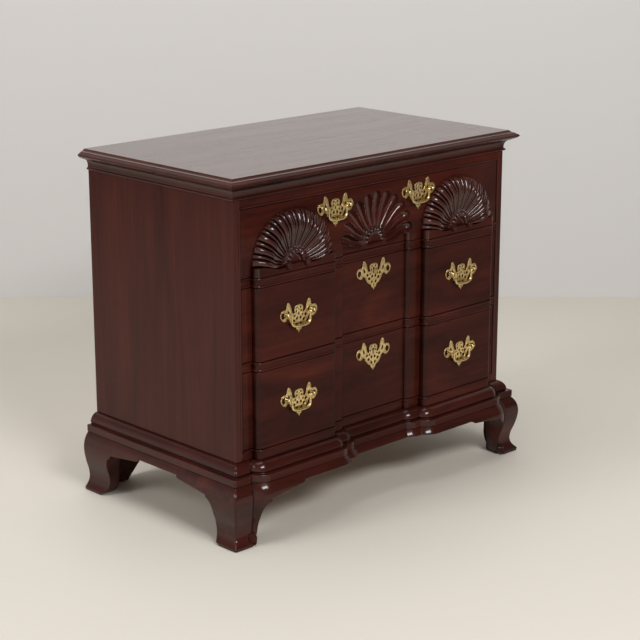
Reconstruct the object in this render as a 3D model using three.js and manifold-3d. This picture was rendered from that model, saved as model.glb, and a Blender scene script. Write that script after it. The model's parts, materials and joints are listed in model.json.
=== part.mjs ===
// Block front chest: three graduated drawers behind a blocked facade, carved shells on the
// top drawer, ogee bracket feet and pierced brass pulls. Millimetres, +Z up, front towards -Y.
import * as THREE from 'three';
import { mergeVertices } from 'three/addons/utils/BufferGeometryUtils.js';
import Module from 'manifold-3d';

const wasm = await Module();
wasm.setup();

// Case
const caseWidth = 852;
const caseDepth = 488;
const sideThickness = 19;
const backThickness = 8;
const rabbetWidth = 10;
const fitGap = 0.3;
const overrun = 3;
const weldDistance = 0.001;

// Heights from the floor up
const footHeight = 141;
const baseMouldHeight = 40;
const baseMouldLap = 31;
const bottomRailShow = 23;
const lowerOpening = 174.2;
const middleOpening = 163.4;
const upperOpening = 148.7;
const dividerThickness = 20.4;
const topRailShow = 20.4;
const bedMouldHeight = 27.8;
const topThickness = 20.8;

// Blocked facade, in plan: recessed centre, ground strip, raised side block, corner strip
const blockProjection = 20;
const blockRound = 11;
const cornerStrip = 28;
const groundStrip = 32;
const recessDepth = 11;
const recessHalf = 112;
const leastStrip = 2;

// Beads worked on the rails, dividers and stiles round every drawer
const beadWidth = 5.2;
const beadReach = 1.8;

// Rails, dust frames and bottom
const railDepth = 66;
const bottomRailDepth = 34;
const topRailDepth = 24;
const topFrameThickness = 20;
const runnerWidth = 52;
const frameRail = 60;
const dustPanelThickness = 6;
const bottomBoardThickness = 18;

// Top edge and the mouldings, as shares of their own reach and height
const topReach = 28;
const bedReach = 16;
const baseReach = 29;
const topEdgeShares = [
  [0.64, 0],
  [0.73, 0.065],
  [0.86, 0.16],
  [0.97, 0.29],
  [1, 0.365],
  [0.97, 0.45],
  [0.86, 0.56],
  [0.72, 0.66],
  [0.69, 0.72],
  [0.55, 0.78],
  [0.43, 0.88],
  [0.33, 1],
];
const bedMouldShares = [
  [0.08, 0],
  [0.21, 0.025],
  [0.3, 0.075],
  [0.31, 0.13],
  [0.25, 0.18],
  [0.12, 0.21],
  [0.08, 0.3],
  [0.1, 0.48],
  [0.16, 0.62],
  [0.29, 0.76],
  [0.46, 0.86],
  [0.69, 0.93],
  [0.94, 0.955],
  [0.94, 1],
];
const baseMouldShares = [
  [1, 0],
  [1, 0.41],
  [0.86, 0.44],
  [0.7, 0.52],
  [0.59, 0.63],
  [0.51, 0.75],
  [0.4, 0.87],
  [0.26, 0.96],
  [0.15, 1],
];

// Ogee bracket feet: swell at the top, slim ankle, flared toe
const ogeeSwell = 41;
const footWing = 198;
const toeSpan = 55;
const frontToeSpan = 64;
const toeRise = 42;
const toeTurnShare = 0.34;
const ankleSpan = 78;
const frontNarrowing = 8;
const coveRise = 36;
const coveRun = 18;
const coveDrop = 24;
const stepRise = 7;
const stepRun = 3;
const coveSwingShare = 0.55;
const coveLeanShare = 0.45;
const lobeDrop = 7;
const lobeRun = 16;
const apronDrop = 17;
const apronBack = 8;
const ogeeShares = [
  [0.96, 0],
  [1, 0.045],
  [0.78, 0.12],
  [0.69, 0.184],
  [0.668, 0.255],
  [0.724, 0.359],
  [0.85, 0.475],
  [0.956, 0.61],
  [1, 0.73],
  [0.959, 0.83],
  [0.915, 0.88],
  [0.837, 0.93],
  [0.73, 1],
];
const scrollRadius = 11;
const scrollHeight = 16.5;
const scrollSpan = 56;
const scrollProud = 2.5;
const scrollDepth = 10;
const rearBracketThickness = 20;
const rearBracketFloorSpan = 69;
const rearBracketTopSpan = 164;
const rearBracketDrop = 40;
const blockShort = 2;

// Drawers
const drawerClear = 1.3;
const sideClear = 1.8;
const frontThickness = 26;
const drawerSideThickness = 12;
const drawerBackThickness = 12;
const drawerBottomThickness = 6;
const drawerDepth = 442;
const sideDrop = 8;
const grooveRise = 11;
const grooveDepth = 5;

// Carved shells on the top drawer
const shellMargin = 0.5;
const shellRise = 14.5;
const shellTopGap = 14.6;
const hollowMargin = 1;
const hollowTopGap = 18.6;
const shellHeight = 22;
const shellLobes = 12;
const hollowLobes = 11;
const hubPetals = 10;
const laneCount = 4;
const fluteDepth = 7;
const petalDepth = 4.5;
const scallopShare = 0.06;
const hollowDepth = 12;
const voluteRadius = 7.5;
const voluteOffset = 27;
const voluteReach = 4;
// Radius, height, flute and petal shares from the hub to the rim
const shellShares = [
  [0.18, 0.78, 0, 0.2],
  [0.26, 0.86, 0, 1],
  [0.305, 0.56, 0.2, 0],
  [0.42, 0.66, 0.5, 0],
  [0.6, 0.84, 0.8, 0],
  [0.78, 0.98, 1, 0],
  [0.89, 0.84, 1, 0],
  [0.96, 0.5, 0.8, 0],
  [1, 0.1, 0.2, 0],
];
const hollowShares = [
  [0.18, 0.57, 0, 0.2],
  [0.26, 0.5, 0, 1],
  [0.305, 0.95, 0.2, 0],
  [0.45, 0.86, 0.5, 0],
  [0.65, 0.68, 0.8, 0],
  [0.82, 0.5, 1, 0],
  [0.92, 0.34, 1.1, 0],
  [1, -0.05, 0.9, 0],
];

// Brass pulls and escutcheons
const plateSpan = 109;
const plateHeight = 71.5;
const plateThickness = 1.6;
const postSpacing = 76;
const postLevel = 45.7;
const postRadius = 2.4;
const postReach = 9;
const ballRadius = 4.8;
const boreRadius = 2.3;
const bailRadius = 1.75;
const bailSwellShare = 0.75;
const bailPin = 3;
const bailPinGap = 0.6;
const bailDrop = 28;
const bailHalf = 27;
const bailBend = 5.5;
const bailTurnShare = 0.75;
const bailLowShare = 0.9;
const bailSideShare = 0.55;
const keyholeRadius = 2.2;
const keyholeDrop = 9;
const keyholeLevel = 50;
const topPullShift = 1.2;
const topPullGap = 5;
const escutcheonRise = 41;
// Right half of the pierced plate, from the bottom tip to the top of the middle dome,
// across as shares of half the span and up as shares of the height
const plateShares = [
  [0, 0],
  [0.035, 0.07],
  [0.11, 0.1],
  [0.16, 0.19],
  [0.28, 0.235],
  [0.39, 0.31],
  [0.47, 0.42],
  [0.56, 0.49],
  [0.63, 0.49],
  [0.7, 0.44],
  [0.8, 0.435],
  [0.93, 0.51],
  [1, 0.63],
  [0.95, 0.74],
  [0.82, 0.8],
  [0.67, 0.81],
  [0.6, 0.85],
  [0.61, 0.92],
  [0.54, 1],
  [0.45, 0.98],
  [0.39, 0.9],
  [0.37, 0.78],
  [0.3, 0.65],
  [0.24, 0.66],
  [0.24, 0.76],
  [0.16, 0.85],
  [0, 0.885],
];
// Piercings: centre across and up, half width, half height and tilt in turns
const pierceShares = [
  [0.88, 0.66, 0.05, 0.085, 0.02],
  [0.56, 0.74, 0.045, 0.055, -0.04],
  [0.36, 0.52, 0.05, 0.045, 0.05],
  [0.27, 0.39, 0.055, 0.035, 0.06],
  [0.12, 0.3, 0.04, 0.045, -0.05],
];

const caseHalf = caseWidth / 2;
const openHalf = caseHalf - sideThickness;
const caseFloor = footHeight + baseMouldHeight - baseMouldLap;
const baseMouldTop = footHeight + baseMouldHeight;
const lowerFloor = baseMouldTop + bottomRailShow;
const middleFloor = lowerFloor + lowerOpening + dividerThickness;
const upperFloor = middleFloor + middleOpening + dividerThickness;
const openingsTop = upperFloor + upperOpening;
const bedMouldBottom = openingsTop + topRailShow;
const caseTop = bedMouldBottom + bedMouldHeight;
const topUnderside = caseTop + fitGap;
const backPlane = caseDepth - backThickness;
const blockInner = recessHalf + groundStrip;
const blockOuter = openHalf - cornerStrip;
const blockCentre = (blockInner + blockOuter) / 2;
const footCorner = caseHalf + ogeeSwell;
const apronBottom = footHeight - apronDrop;
const lobeLevel = apronBottom - lobeDrop;
const coveTop = apronBottom - coveDrop;
const coveStart = coveTop - coveRise;
const shellCentre = upperFloor + drawerClear + shellRise;
const shellRoom = openingsTop - drawerClear - shellCentre;
const shellReach = [(blockOuter - blockInner) / 2 - shellMargin, shellRoom - shellTopGap];
const hollowReach = [recessHalf + hollowMargin, shellRoom - hollowTopGap];

const mahogany = { color: 0x4b1d16, roughness: 0.32, metalness: 0 };
const secondary = { color: 0xb08a5c, roughness: 0.7, metalness: 0 };
const brass = { color: 0xc8a357, roughness: 0.3, metalness: 1 };

// A closed triangle mesh from points and faces, facing out, without doubled points
function closedGeometry(points, faces) {
  const raw = new THREE.BufferGeometry();
  raw.setAttribute('position', new THREE.Float32BufferAttribute(points.flat(), 3));
  raw.setIndex(faces.flat());
  const welded = mergeVertices(raw, weldDistance);
  const order = Array.from(welded.index.array);
  const kept = [];
  for (let i = 0; i < order.length; i += 3) {
    const [a, b, c] = order.slice(i, i + 3);
    if (a !== b && b !== c && c !== a) {
      kept.push(a, b, c);
    }
  }
  welded.setIndex(kept);
  return facingOut(welded);
}

// Turns every face round when the mesh encloses its volume inside out
function facingOut(geometry) {
  const order = Array.from(geometry.index.array);
  const place = geometry.attributes.position;
  const corner = (i) => new THREE.Vector3().fromBufferAttribute(place, order[i]);
  let volume = 0;
  for (let i = 0; i < order.length; i += 3) {
    volume += corner(i).dot(corner(i + 1).cross(corner(i + 2)));
  }
  if (volume < 0) {
    for (let i = 0; i < order.length; i += 3) {
      [order[i], order[i + 1]] = [order[i + 1], order[i]];
    }
  }
  geometry.setIndex(order);
  return geometry;
}

// A skin over rows of points, closed from row to row and capped at both ends of the rows
function skin(rows, section) {
  const count = rows[0].length;
  const faces = [];
  rows.forEach((row, k) => {
    const next = (k + 1) % rows.length;
    for (let i = 0; i < count - 1; i += 1) {
      const [a, b] = [k * count + i, k * count + i + 1];
      const [c, d] = [next * count + i, next * count + i + 1];
      faces.push([a, b, d], [a, d, c]);
    }
  });
  const flat = section.map(([u, v]) => new THREE.Vector2(u, v));
  const clockwise = THREE.ShapeUtils.isClockWise(flat);
  THREE.ShapeUtils.triangulateShape(flat, []).forEach(([a, b, c]) => {
    const near = [a * count, b * count, c * count];
    const far = [a, c, b].map((k) => k * count + count - 1);
    const turn = clockwise ? ([p, q, r]) => [p, r, q] : (face) => face;
    faces.push(turn(near), turn(far));
  });
  return closedGeometry(rows.flat(), faces);
}

// A moulding: each profile point (reach, height, blocking share) runs along its own path
function sweep(profile, path) {
  const rows = profile.map(([out, up, share = 1]) => (
    path(out, share).map(([x, y]) => [x, y, up])
  ));
  return skin(rows, profile);
}

function solidOf(geometry) {
  const bare = geometry.clone();
  bare.deleteAttribute('normal');
  bare.deleteAttribute('uv');
  const welded = mergeVertices(bare, weldDistance);
  return new wasm.Manifold(new wasm.Mesh({
    numProp: 3,
    vertProperties: new Float32Array(welded.attributes.position.array),
    triVerts: new Uint32Array(welded.index.array),
  }));
}

function geometryOf(solid) {
  const mesh = solid.getMesh();
  const geometry = new THREE.BufferGeometry();
  geometry.setAttribute('position', new THREE.BufferAttribute(mesh.vertProperties, 3));
  geometry.setIndex(new THREE.BufferAttribute(mesh.triVerts, 1));
  return geometry;
}

function join(...parts) {
  return geometryOf(parts.map(solidOf).reduce((sum, part) => sum.add(part)));
}

function cut(body, ...tools) {
  return geometryOf(tools.map(solidOf).reduce((left, tool) => left.subtract(tool), solidOf(body)));
}

function shapeOf(points) {
  return new THREE.Shape(points.map(([u, v]) => new THREE.Vector2(u, v)));
}

function extrude(shape, depth) {
  const geometry = new THREE.ExtrudeGeometry(shape, { depth, bevelEnabled: false });
  geometry.deleteAttribute('uv');
  geometry.deleteAttribute('normal');
  return mergeVertices(geometry, weldDistance);
}

// Plan outline (x, y) raised from z0 to z1
function prismZ(shape, z0, z1) {
  return extrude(shape, z1 - z0).translate(0, 0, z0);
}

// Front outline (x, z) run back from y0 to y1
function prismY(shape, y0, y1) {
  return extrude(shape, y1 - y0).rotateX(Math.PI / 2).translate(0, y1, 0);
}

// Side outline (y, z) run across from x0 to x1
function prismX(shape, x0, x1) {
  const turn = new THREE.Matrix4().makeBasis(
    new THREE.Vector3(0, 1, 0),
    new THREE.Vector3(0, 0, 1),
    new THREE.Vector3(1, 0, 0),
  );
  return extrude(shape, x1 - x0).applyMatrix4(turn).translate(x0, 0, 0);
}

function box([x0, x1], [y0, y1], [z0, z1]) {
  const geometry = new THREE.BoxGeometry(x1 - x0, y1 - y0, z1 - z0);
  return geometry.translate((x0 + x1) / 2, (y0 + y1) / 2, (z0 + z1) / 2);
}

function mirrored(geometry) {
  const copy = geometry.clone().applyMatrix4(new THREE.Matrix4().makeScale(-1, 1, 1));
  return facingOut(copy);
}

// One rounded side of a raised block in plan, from the ground up to the block's face
function blockSide(wall, inward, out) {
  const rise = blockProjection - blockRound;
  const radius = blockRound + out;
  const centre = wall + inward * blockRound;
  const steps = 3;
  const point = (angle, reach) => [
    centre - inward * reach * Math.cos(angle),
    -rise - radius * Math.sin(angle),
  ];
  const quarter = Math.PI / 2;
  if (out < rise) {
    const arc = Array.from({ length: steps + 1 }, (_, i) => point(quarter * i / steps, radius));
    return [[centre - inward * radius, -out], ...arc];
  }
  const start = Math.asin((out - rise) / radius);
  const clear = inward > 0 ? centre - recessHalf - leastStrip : radius;
  const reach = Math.min(radius, clear / Math.cos(start));
  return Array.from({ length: steps + 2 }, (_, i) => (
    point(start + (quarter - start) * i / (steps + 1), reach)
  ));
}

// Rounded side of the centre recess in plan, from its floor out to the ground
function recessSide(out) {
  const radius = recessDepth + out;
  const start = Math.asin(out / radius);
  const steps = 3;
  return Array.from({ length: steps + 1 }, (_, i) => {
    const angle = start + (Math.PI / 2 - start) * i / steps;
    return [recessHalf - radius * Math.cos(angle), recessDepth - radius * Math.sin(angle)];
  });
}

// Facade line at a distance in front of the case, from the left end to the right end.
// A share of 0 flattens the blocking to a straight line with the same points.
function facade(out, share, end) {
  const grow = Math.max(out, 0);
  const half = [
    ...recessSide(grow),
    ...blockSide(blockInner, 1, grow),
    ...blockSide(blockOuter, -1, grow).reverse(),
    [end, -grow],
  ].map(([x, y]) => [x, share * (y + grow) - out]);
  return [...half.map(([x, y]) => [-x, y]).reverse(), ...half];
}

// Half-round bead between two heights, as (reach, height) points
function bead(low, high) {
  const steps = 3;
  return Array.from({ length: steps + 1 }, (_, i) => {
    const angle = Math.PI * i / steps;
    const middle = (low + high) / 2;
    return [beadReach * Math.sin(angle), middle - (high - low) / 2 * Math.cos(angle)];
  });
}

function scaled(shares, reach, low, height) {
  return shares.map(([out, up]) => [out * reach, low + up * height]);
}

// Reach of the ogee at a height above the floor
function ogeeAt(up) {
  const share = up / footHeight;
  const above = ogeeShares.findIndex(([, level]) => level >= share);
  if (above < 1) {
    return ogeeSwell * ogeeShares[0][0];
  }
  const [[fromReach, fromLevel], [toReach, toLevel]] = ogeeShares.slice(above - 1, above + 1);
  const part = (share - fromLevel) / (toLevel - fromLevel);
  return ogeeSwell * (fromReach + (toReach - fromReach) * part);
}

const root = new THREE.Group();
const carcass = new THREE.Group();
root.add(carcass);

function place(parent, name, geometry, finish) {
  const mesh = new THREE.Mesh(geometry, new THREE.MeshStandardMaterial(finish));
  mesh.name = name;
  parent.add(mesh);
  return mesh;
}

function placePair(name, geometry, finish) {
  place(carcass, `${name}_right`, geometry, finish);
  place(carcass, `${name}_left`, mirrored(geometry), finish);
}

// Top board: a slab with a moulded edge on the front and both ends
const topLevels = scaled(topEdgeShares, topReach, 0, 1);
const topRows = topLevels.map(([out, level]) => {
  const z = topUnderside + topThickness * level;
  const x = caseHalf + out;
  return [[-x, caseDepth, z], [-x, -out, z], [x, -out, z], [x, caseDepth, z]];
});
const topSection = topLevels.map(([out, level]) => [out, topThickness * level]);
const topInner = [[0, topThickness], [0, 0]];
const topInnerRows = topInner.map(([, level]) => {
  const z = topUnderside + level;
  return [[-caseHalf, caseDepth, z], [-caseHalf, 0, z], [caseHalf, 0, z], [caseHalf, caseDepth, z]];
});
const topEdge = skin([...topRows, ...topInnerRows], [...topSection, ...topInner]);
const topField = box([-caseHalf, caseHalf], [0, caseDepth], [topUnderside, topUnderside + topThickness]);
place(carcass, 'top_board', join(topEdge, topField), mahogany);

// Bed moulding under the top, mitred at the front corners
const bedProfile = [
  ...scaled(bedMouldShares, bedReach, bedMouldBottom, bedMouldHeight),
  [fitGap, caseTop],
  [fitGap, bedMouldBottom],
];
const mitredFront = (out) => [[-caseHalf - out, -out], [caseHalf + out, -out]];
const mitredEnd = (out) => [[caseHalf + out, fitGap * 2 - out], [caseHalf + out, caseDepth]];
place(carcass, 'bed_mould_front', sweep(bedProfile, mitredFront), mahogany);
placePair('bed_mould', sweep(bedProfile, mitredEnd), mahogany);

// Case sides: rabbeted for the back, with a bead along the drawer openings
const sidePlan = shapeOf([
  [openHalf, 0],
  [caseHalf, 0],
  [caseHalf, caseDepth],
  [openHalf + rabbetWidth, caseDepth],
  [openHalf + rabbetWidth, backPlane],
  [openHalf, backPlane],
]);
const stileBead = bead(openHalf, openHalf + beadWidth).map(([out, x]) => [x, -out]);
const stileBeadPlan = shapeOf([
  ...stileBead,
  [openHalf + beadWidth, beadReach],
  [openHalf, beadReach],
]);
const sideBoard = join(
  prismZ(sidePlan, caseFloor, caseTop),
  prismZ(stileBeadPlan, lowerFloor, openingsTop),
);
placePair('side', sideBoard, mahogany);

// Back and bottom boards
const backHalf = openHalf + rabbetWidth - fitGap;
const backDepth = [backPlane + fitGap, caseDepth];
place(carcass, 'back_panel', box([-backHalf, backHalf], backDepth, [caseFloor, caseTop]), secondary);
const railHalf = openHalf - fitGap;
const boardSpan = [-railHalf, railHalf];
const bottomBoard = box(
  boardSpan,
  [bottomRailDepth + fitGap, backPlane],
  [lowerFloor - bottomBoardThickness, lowerFloor],
);
place(carcass, 'bottom_board', bottomBoard, secondary);

// Blocked rails and dividers with beaded edges, running across the facade
const acrossOpening = (out, share) => facade(out, share, railHalf);
function beadedRail(bottom, top, depth, lowBead, highBead) {
  return sweep([
    ...(lowBead ? bead(bottom, bottom + beadWidth) : [[0, bottom]]),
    ...(highBead ? bead(top - beadWidth, top) : [[0, top]]),
    [-depth, top, 0],
    [-depth, bottom, 0],
  ], acrossOpening);
}
const bottomRail = beadedRail(caseFloor, lowerFloor, bottomRailDepth, false, true);
place(carcass, 'bottom_rail', bottomRail, mahogany);
const dividerFloors = { divider_lower: middleFloor, divider_upper: upperFloor };
Object.entries(dividerFloors).forEach(([name, floor]) => {
  const divider = beadedRail(floor - dividerThickness, floor, railDepth, true, true);
  place(carcass, name, divider, mahogany);
});

// Straight top rail with a bead along its lower edge
const topRailProfile = [
  ...bead(openingsTop, openingsTop + beadWidth),
  [0, caseTop],
  [-topRailDepth, caseTop],
  [-topRailDepth, openingsTop],
];
const straight = (out) => [[-railHalf, -out], [railHalf, -out]];
place(carcass, 'top_rail', sweep(topRailProfile, straight), mahogany);

// Frame of kickers under the top, and the dust frames that the drawers run on
function ladder(front, [low, high], panel) {
  const back = backPlane;
  const rails = [
    box([-railHalf, runnerWidth - railHalf], [front, back], [low, high]),
    box([railHalf - runnerWidth, railHalf], [front, back], [low, high]),
    box(boardSpan, [back - frameRail, back], [low, high]),
  ];
  if (panel) {
    const middle = (low + high) / 2;
    const half = dustPanelThickness / 2;
    rails.push(box(boardSpan, [front, front + frameRail], [low, high]));
    rails.push(box(boardSpan, [front, back], [middle - half, middle + half]));
  }
  return join(...rails);
}
const topFrame = ladder(topRailDepth + fitGap, [caseTop - topFrameThickness, caseTop], false);
place(carcass, 'top_frame', topFrame, secondary);
const dustFloors = { dust_frame_lower: middleFloor, dust_frame_upper: upperFloor };
Object.entries(dustFloors).forEach(([name, floor]) => {
  const frame = ladder(railDepth + fitGap, [floor - dividerThickness, floor], true);
  place(carcass, name, frame, secondary);
});

// Base moulding: a cyma over a fillet that follows the blocking across the front
const baseProfile = [
  ...scaled(baseMouldShares, baseReach, footHeight + fitGap, baseMouldHeight - fitGap),
  [fitGap, baseMouldTop],
  [fitGap, footHeight + fitGap],
];
const mitredFacade = (out, share) => facade(out, share, caseHalf + out);
place(carcass, 'base_mould_front', sweep(baseProfile, mitredFacade), mahogany);
placePair('base_mould', sweep(baseProfile, mitredEnd), mahogany);

// Apron strips between the feet, shaped as the top of the ogee
const apronLevels = [footHeight, footHeight - apronDrop / 3, footHeight - apronDrop * 2 / 3, apronBottom];
const apronProfile = [
  ...apronLevels.map((up) => [ogeeAt(up), up]),
  [apronBack, apronBottom],
  [apronBack, footHeight],
];
const frontWingEnd = footCorner + frontNarrowing - footWing;
const apronHalf = frontWingEnd - fitGap;
const betweenFeet = (out, share) => facade(out, share, apronHalf)
  .filter(([x]) => Math.abs(x) <= apronHalf)
  .map(([x, y]) => (Math.abs(x) === apronHalf ? [x, -blockProjection * share - out] : [x, y]));
place(carcass, 'apron_front', sweep(apronProfile, betweenFeet), mahogany);
const sideWingEnd = footWing - ogeeSwell;
const rearWingEnd = caseDepth - footWing;
const alongSide = (out) => [
  [caseHalf + out, sideWingEnd + fitGap],
  [caseHalf + out, rearWingEnd - fitGap],
];
placePair('apron', sweep(apronProfile, alongSide), mahogany);

// Outline cut away under a foot's bracket, (distance from the toe's corner, height)
function bracketCut(toe, place2d) {
  const shape = new THREE.Shape();
  const move = (method, ...pairs) => shape[method](...pairs.flatMap(([u, v]) => place2d(u, v)));
  const far = footWing + overrun;
  const swing = (coveTop - coveStart) * coveSwingShare;
  const lean = coveRun * coveLeanShare;
  move('moveTo', [toe, -overrun]);
  move('lineTo', [toe, 0]);
  move('quadraticCurveTo', [ankleSpan, toeRise * toeTurnShare], [ankleSpan, toeRise]);
  move('lineTo', [ankleSpan, coveStart]);
  move(
    'bezierCurveTo',
    [ankleSpan, coveStart + swing],
    [ankleSpan + lean, coveTop],
    [ankleSpan + coveRun, coveTop],
  );
  move('lineTo', [ankleSpan + coveRun + stepRun, coveTop + stepRise]);
  move('lineTo', [footWing - lobeRun, lobeLevel]);
  move('quadraticCurveTo', [footWing, lobeLevel], [footWing, apronBottom]);
  move('lineTo', [far, apronBottom]);
  move('lineTo', [far, -overrun]);
  return new THREE.Shape(shape.getPoints(5));
}
const frontCut = bracketCut(frontToeSpan, (s, up) => [footCorner + frontNarrowing - s, up]);
const sideCut = bracketCut(toeSpan, (s, up) => [s - ogeeSwell, up]);
const rearCut = bracketCut(toeSpan, (s, up) => [caseDepth - s, up]);
const footTop = footHeight - fitGap;
const footLevels = ogeeShares.map(([out, level]) => [out * ogeeSwell, level * footTop]);

// Front foot: the blocking runs down its front face and ends in a small scroll
const fadeStart = scrollHeight + scrollRadius;
const footProfile = [
  ...footLevels.map(([out, up]) => [out, up, Math.min(1, Math.max(0, up / fadeStart) ** 2)]),
  [fitGap, footTop, 0],
  [fitGap, 0, 0],
];
const roundFront = (out, share) => [
  ...facade(out, share, caseHalf + out).filter(([x]) => x > blockCentre).slice(0, -1),
  [caseHalf + out, -out],
  [caseHalf + out, sideWingEnd],
].map(([x, y], i) => (i ? [x, y] : [Math.min(x, blockOuter - blockRound), y]));
const wingStart = (out, share) => [[frontWingEnd, -blockProjection * share - out]];
const frontFootPath = (out, share) => [...wingStart(out, share), ...roundFront(out, share)];
const footShell = sweep(footProfile, frontFootPath);
const scrollFall = ogeeAt(scrollHeight - scrollRadius) - ogeeAt(scrollHeight + scrollRadius);
const scroll = new THREE.CylinderGeometry(scrollRadius, scrollRadius, scrollDepth, 16)
  .translate(0, scrollDepth / 2 - scrollProud, 0)
  .rotateX(-Math.atan2(scrollFall, scrollRadius * 2))
  .translate(footCorner - scrollSpan, -ogeeAt(scrollHeight), scrollHeight);
const frontFoot = join(
  cut(
    footShell,
    prismY(frontCut, -blockProjection - ogeeSwell - overrun, overrun),
    prismX(sideCut, caseHalf - overrun, footCorner + overrun),
  ),
  scroll,
);
placePair('foot_front', frontFoot, mahogany);

// Rear foot: the ogee on the side, a plain sloping bracket across the back
const sideFootPath = (out) => [[caseHalf + out, rearWingEnd], [caseHalf + out, caseDepth]];
const sideFootProfile = [...footLevels, [fitGap, footTop], [fitGap, 0]];
const rearSide = cut(
  sweep(sideFootProfile, sideFootPath),
  prismX(rearCut, caseHalf - overrun, footCorner + overrun),
);
const rearBracket = prismY(
  shapeOf([
    [caseHalf + overrun, 0],
    [caseHalf + overrun, footTop],
    [caseHalf - rearBracketTopSpan, footTop],
    [caseHalf - rearBracketTopSpan, footTop - rearBracketDrop],
    [caseHalf - rearBracketFloorSpan, 0],
  ]),
  caseDepth - rearBracketThickness,
  caseDepth,
);
placePair('foot_rear', join(rearSide, rearBracket), mahogany);

// Glue blocks in the corners behind the foot facings carry the case
const cornerBlock = frontToeSpan - frontNarrowing - ogeeSwell;
const blockReach = [caseHalf - cornerBlock, caseHalf];
const blockRise = [blockShort, caseFloor - fitGap];
const frontBlockDepth = [0, cornerBlock];
const rearFace = caseDepth - rearBracketThickness - fitGap;
placePair('foot_block_front', box(blockReach, frontBlockDepth, blockRise), secondary);
placePair('foot_block_rear', box(blockReach, [rearFace - cornerBlock, rearFace], blockRise), secondary);

// A fan of lobes over half a turn: radius, height, flute and petal shares at each ring
function fan(shares, [across, up], height, lobes, base) {
  const lanes = lobes * laneCount;
  const angles = Array.from({ length: lanes + 1 }, (_, i) => Math.PI * i / lanes);
  const rings = shares.map(([span, level, flute, petal]) => angles.map((angle) => {
    const wave = -Math.cos(2 * lobes * angle) / 2;
    const leaf = -Math.cos(2 * hubPetals * angle) / 2;
    const lift = level * height + flute * fluteDepth * wave + petal * petalDepth * leaf;
    const reach = span * (1 - scallopShare * flute * (0.5 - wave));
    return [reach * across * Math.cos(angle), -lift, reach * up * Math.sin(angle)];
  }));
  const centre = angles.map(() => [0, -height * shares[0][1], 0]);
  const back = angles.map(() => [0, base, 0]);
  const rim = angles.map((angle) => [across * Math.cos(angle), base, up * Math.sin(angle)]);
  const section = [
    [0, -base],
    [0, height * shares[0][1]],
    ...shares.map(([span, level]) => [span * across, level * height]),
    [across, -base],
  ];
  return skin([back, centre, ...rings, rim], section);
}

// Convex shells, carved on applied blocks that carry the blocking down to the drawer's edge
const drawerFloor = upperFloor + drawerClear;
const blockPlan = shapeOf([
  ...blockSide(blockInner, 1, 0),
  ...blockSide(blockOuter, -1, 0).reverse(),
].map(([x, y]) => [x - blockCentre, Math.min(y, -fitGap)]));
const voluteLength = blockProjection + voluteReach - fitGap;
const volute = new THREE.CylinderGeometry(voluteRadius, voluteRadius, voluteLength, 12)
  .translate(0, -(blockProjection + voluteReach + fitGap) / 2, 0);
const convexShell = join(
  fan(shellShares, shellReach, shellHeight, shellLobes, -fitGap).translate(0, 0, shellCentre),
  prismZ(blockPlan, drawerFloor, shellCentre + fitGap),
  volute.clone().translate(voluteOffset, 0, shellCentre - voluteRadius / 3),
  volute.clone().translate(-voluteOffset, 0, shellCentre - voluteRadius / 3),
);

// Drawer fronts, in plan as the facade, with a groove for the bottom
const frontHalf = openHalf - drawerClear;
function grooveFor(floor) {
  const low = floor + grooveRise;
  const half = openHalf - sideClear - drawerSideThickness + grooveDepth;
  const span = [-half, half];
  const height = [low, low + drawerBottomThickness + fitGap * 2];
  return box(span, [frontThickness - grooveDepth, frontThickness + overrun], height);
}
function blockedFront(floor, opening) {
  const plan = shapeOf([
    ...facade(0, 1, frontHalf),
    [frontHalf, frontThickness],
    [-frontHalf, frontThickness],
  ]);
  const body = prismZ(plan, floor + drawerClear, floor + opening - drawerClear);
  return cut(body, grooveFor(floor));
}
function shellFront(floor, opening) {
  const rise = [floor + drawerClear, floor + opening - drawerClear];
  const board = box([-frontHalf, frontHalf], [0, frontThickness], rise);
  const hollow = mirroredDepth(fan(hollowShares, hollowReach, hollowDepth, hollowLobes, overrun));
  const recess = recessSide(0);
  const recessPlan = shapeOf([
    ...recess.map(([x, y]) => [-x, y]).reverse(),
    ...recess,
    [recessHalf, -overrun],
    [-recessHalf, -overrun],
  ]);
  return cut(
    board,
    hollow.translate(0, 0, shellCentre),
    prismZ(recessPlan, floor, shellCentre + fitGap),
    grooveFor(floor),
  );
}
function mirroredDepth(geometry) {
  return facingOut(geometry.applyMatrix4(new THREE.Matrix4().makeScale(1, -1, 1)));
}

// Drawer box behind a front: grooved sides, back on the bottom, bottom slid in
function drawerBox(drawer, name, floor, opening) {
  const outer = openHalf - sideClear;
  const innerFace = outer - drawerSideThickness;
  const low = floor + fitGap;
  const high = floor + opening - sideDrop;
  const slot = floor + grooveRise;
  const slotTop = slot + drawerBottomThickness + fitGap * 2;
  const start = frontThickness + fitGap;
  const end = frontThickness + drawerDepth;
  const section = shapeOf([
    [innerFace, low],
    [outer, low],
    [outer, high],
    [innerFace, high],
    [innerFace, slotTop],
    [innerFace + grooveDepth, slotTop],
    [innerFace + grooveDepth, slot],
    [innerFace, slot],
  ]);
  const board = prismY(section, start, end);
  place(drawer, `${name}_side_right`, board, secondary);
  place(drawer, `${name}_side_left`, mirrored(board), secondary);
  const backHalfSpan = innerFace - fitGap;
  const backBoard = box(
    [-backHalfSpan, backHalfSpan],
    [end - drawerBackThickness, end],
    [slotTop, high],
  );
  place(drawer, `${name}_back`, backBoard, secondary);
  const panelHalf = innerFace + grooveDepth - fitGap;
  const panel = box(
    [-panelHalf, panelHalf],
    [frontThickness - grooveDepth + fitGap, end],
    [slot + fitGap, slotTop - fitGap],
  );
  place(drawer, `${name}_bottom`, panel, secondary);
}

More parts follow.
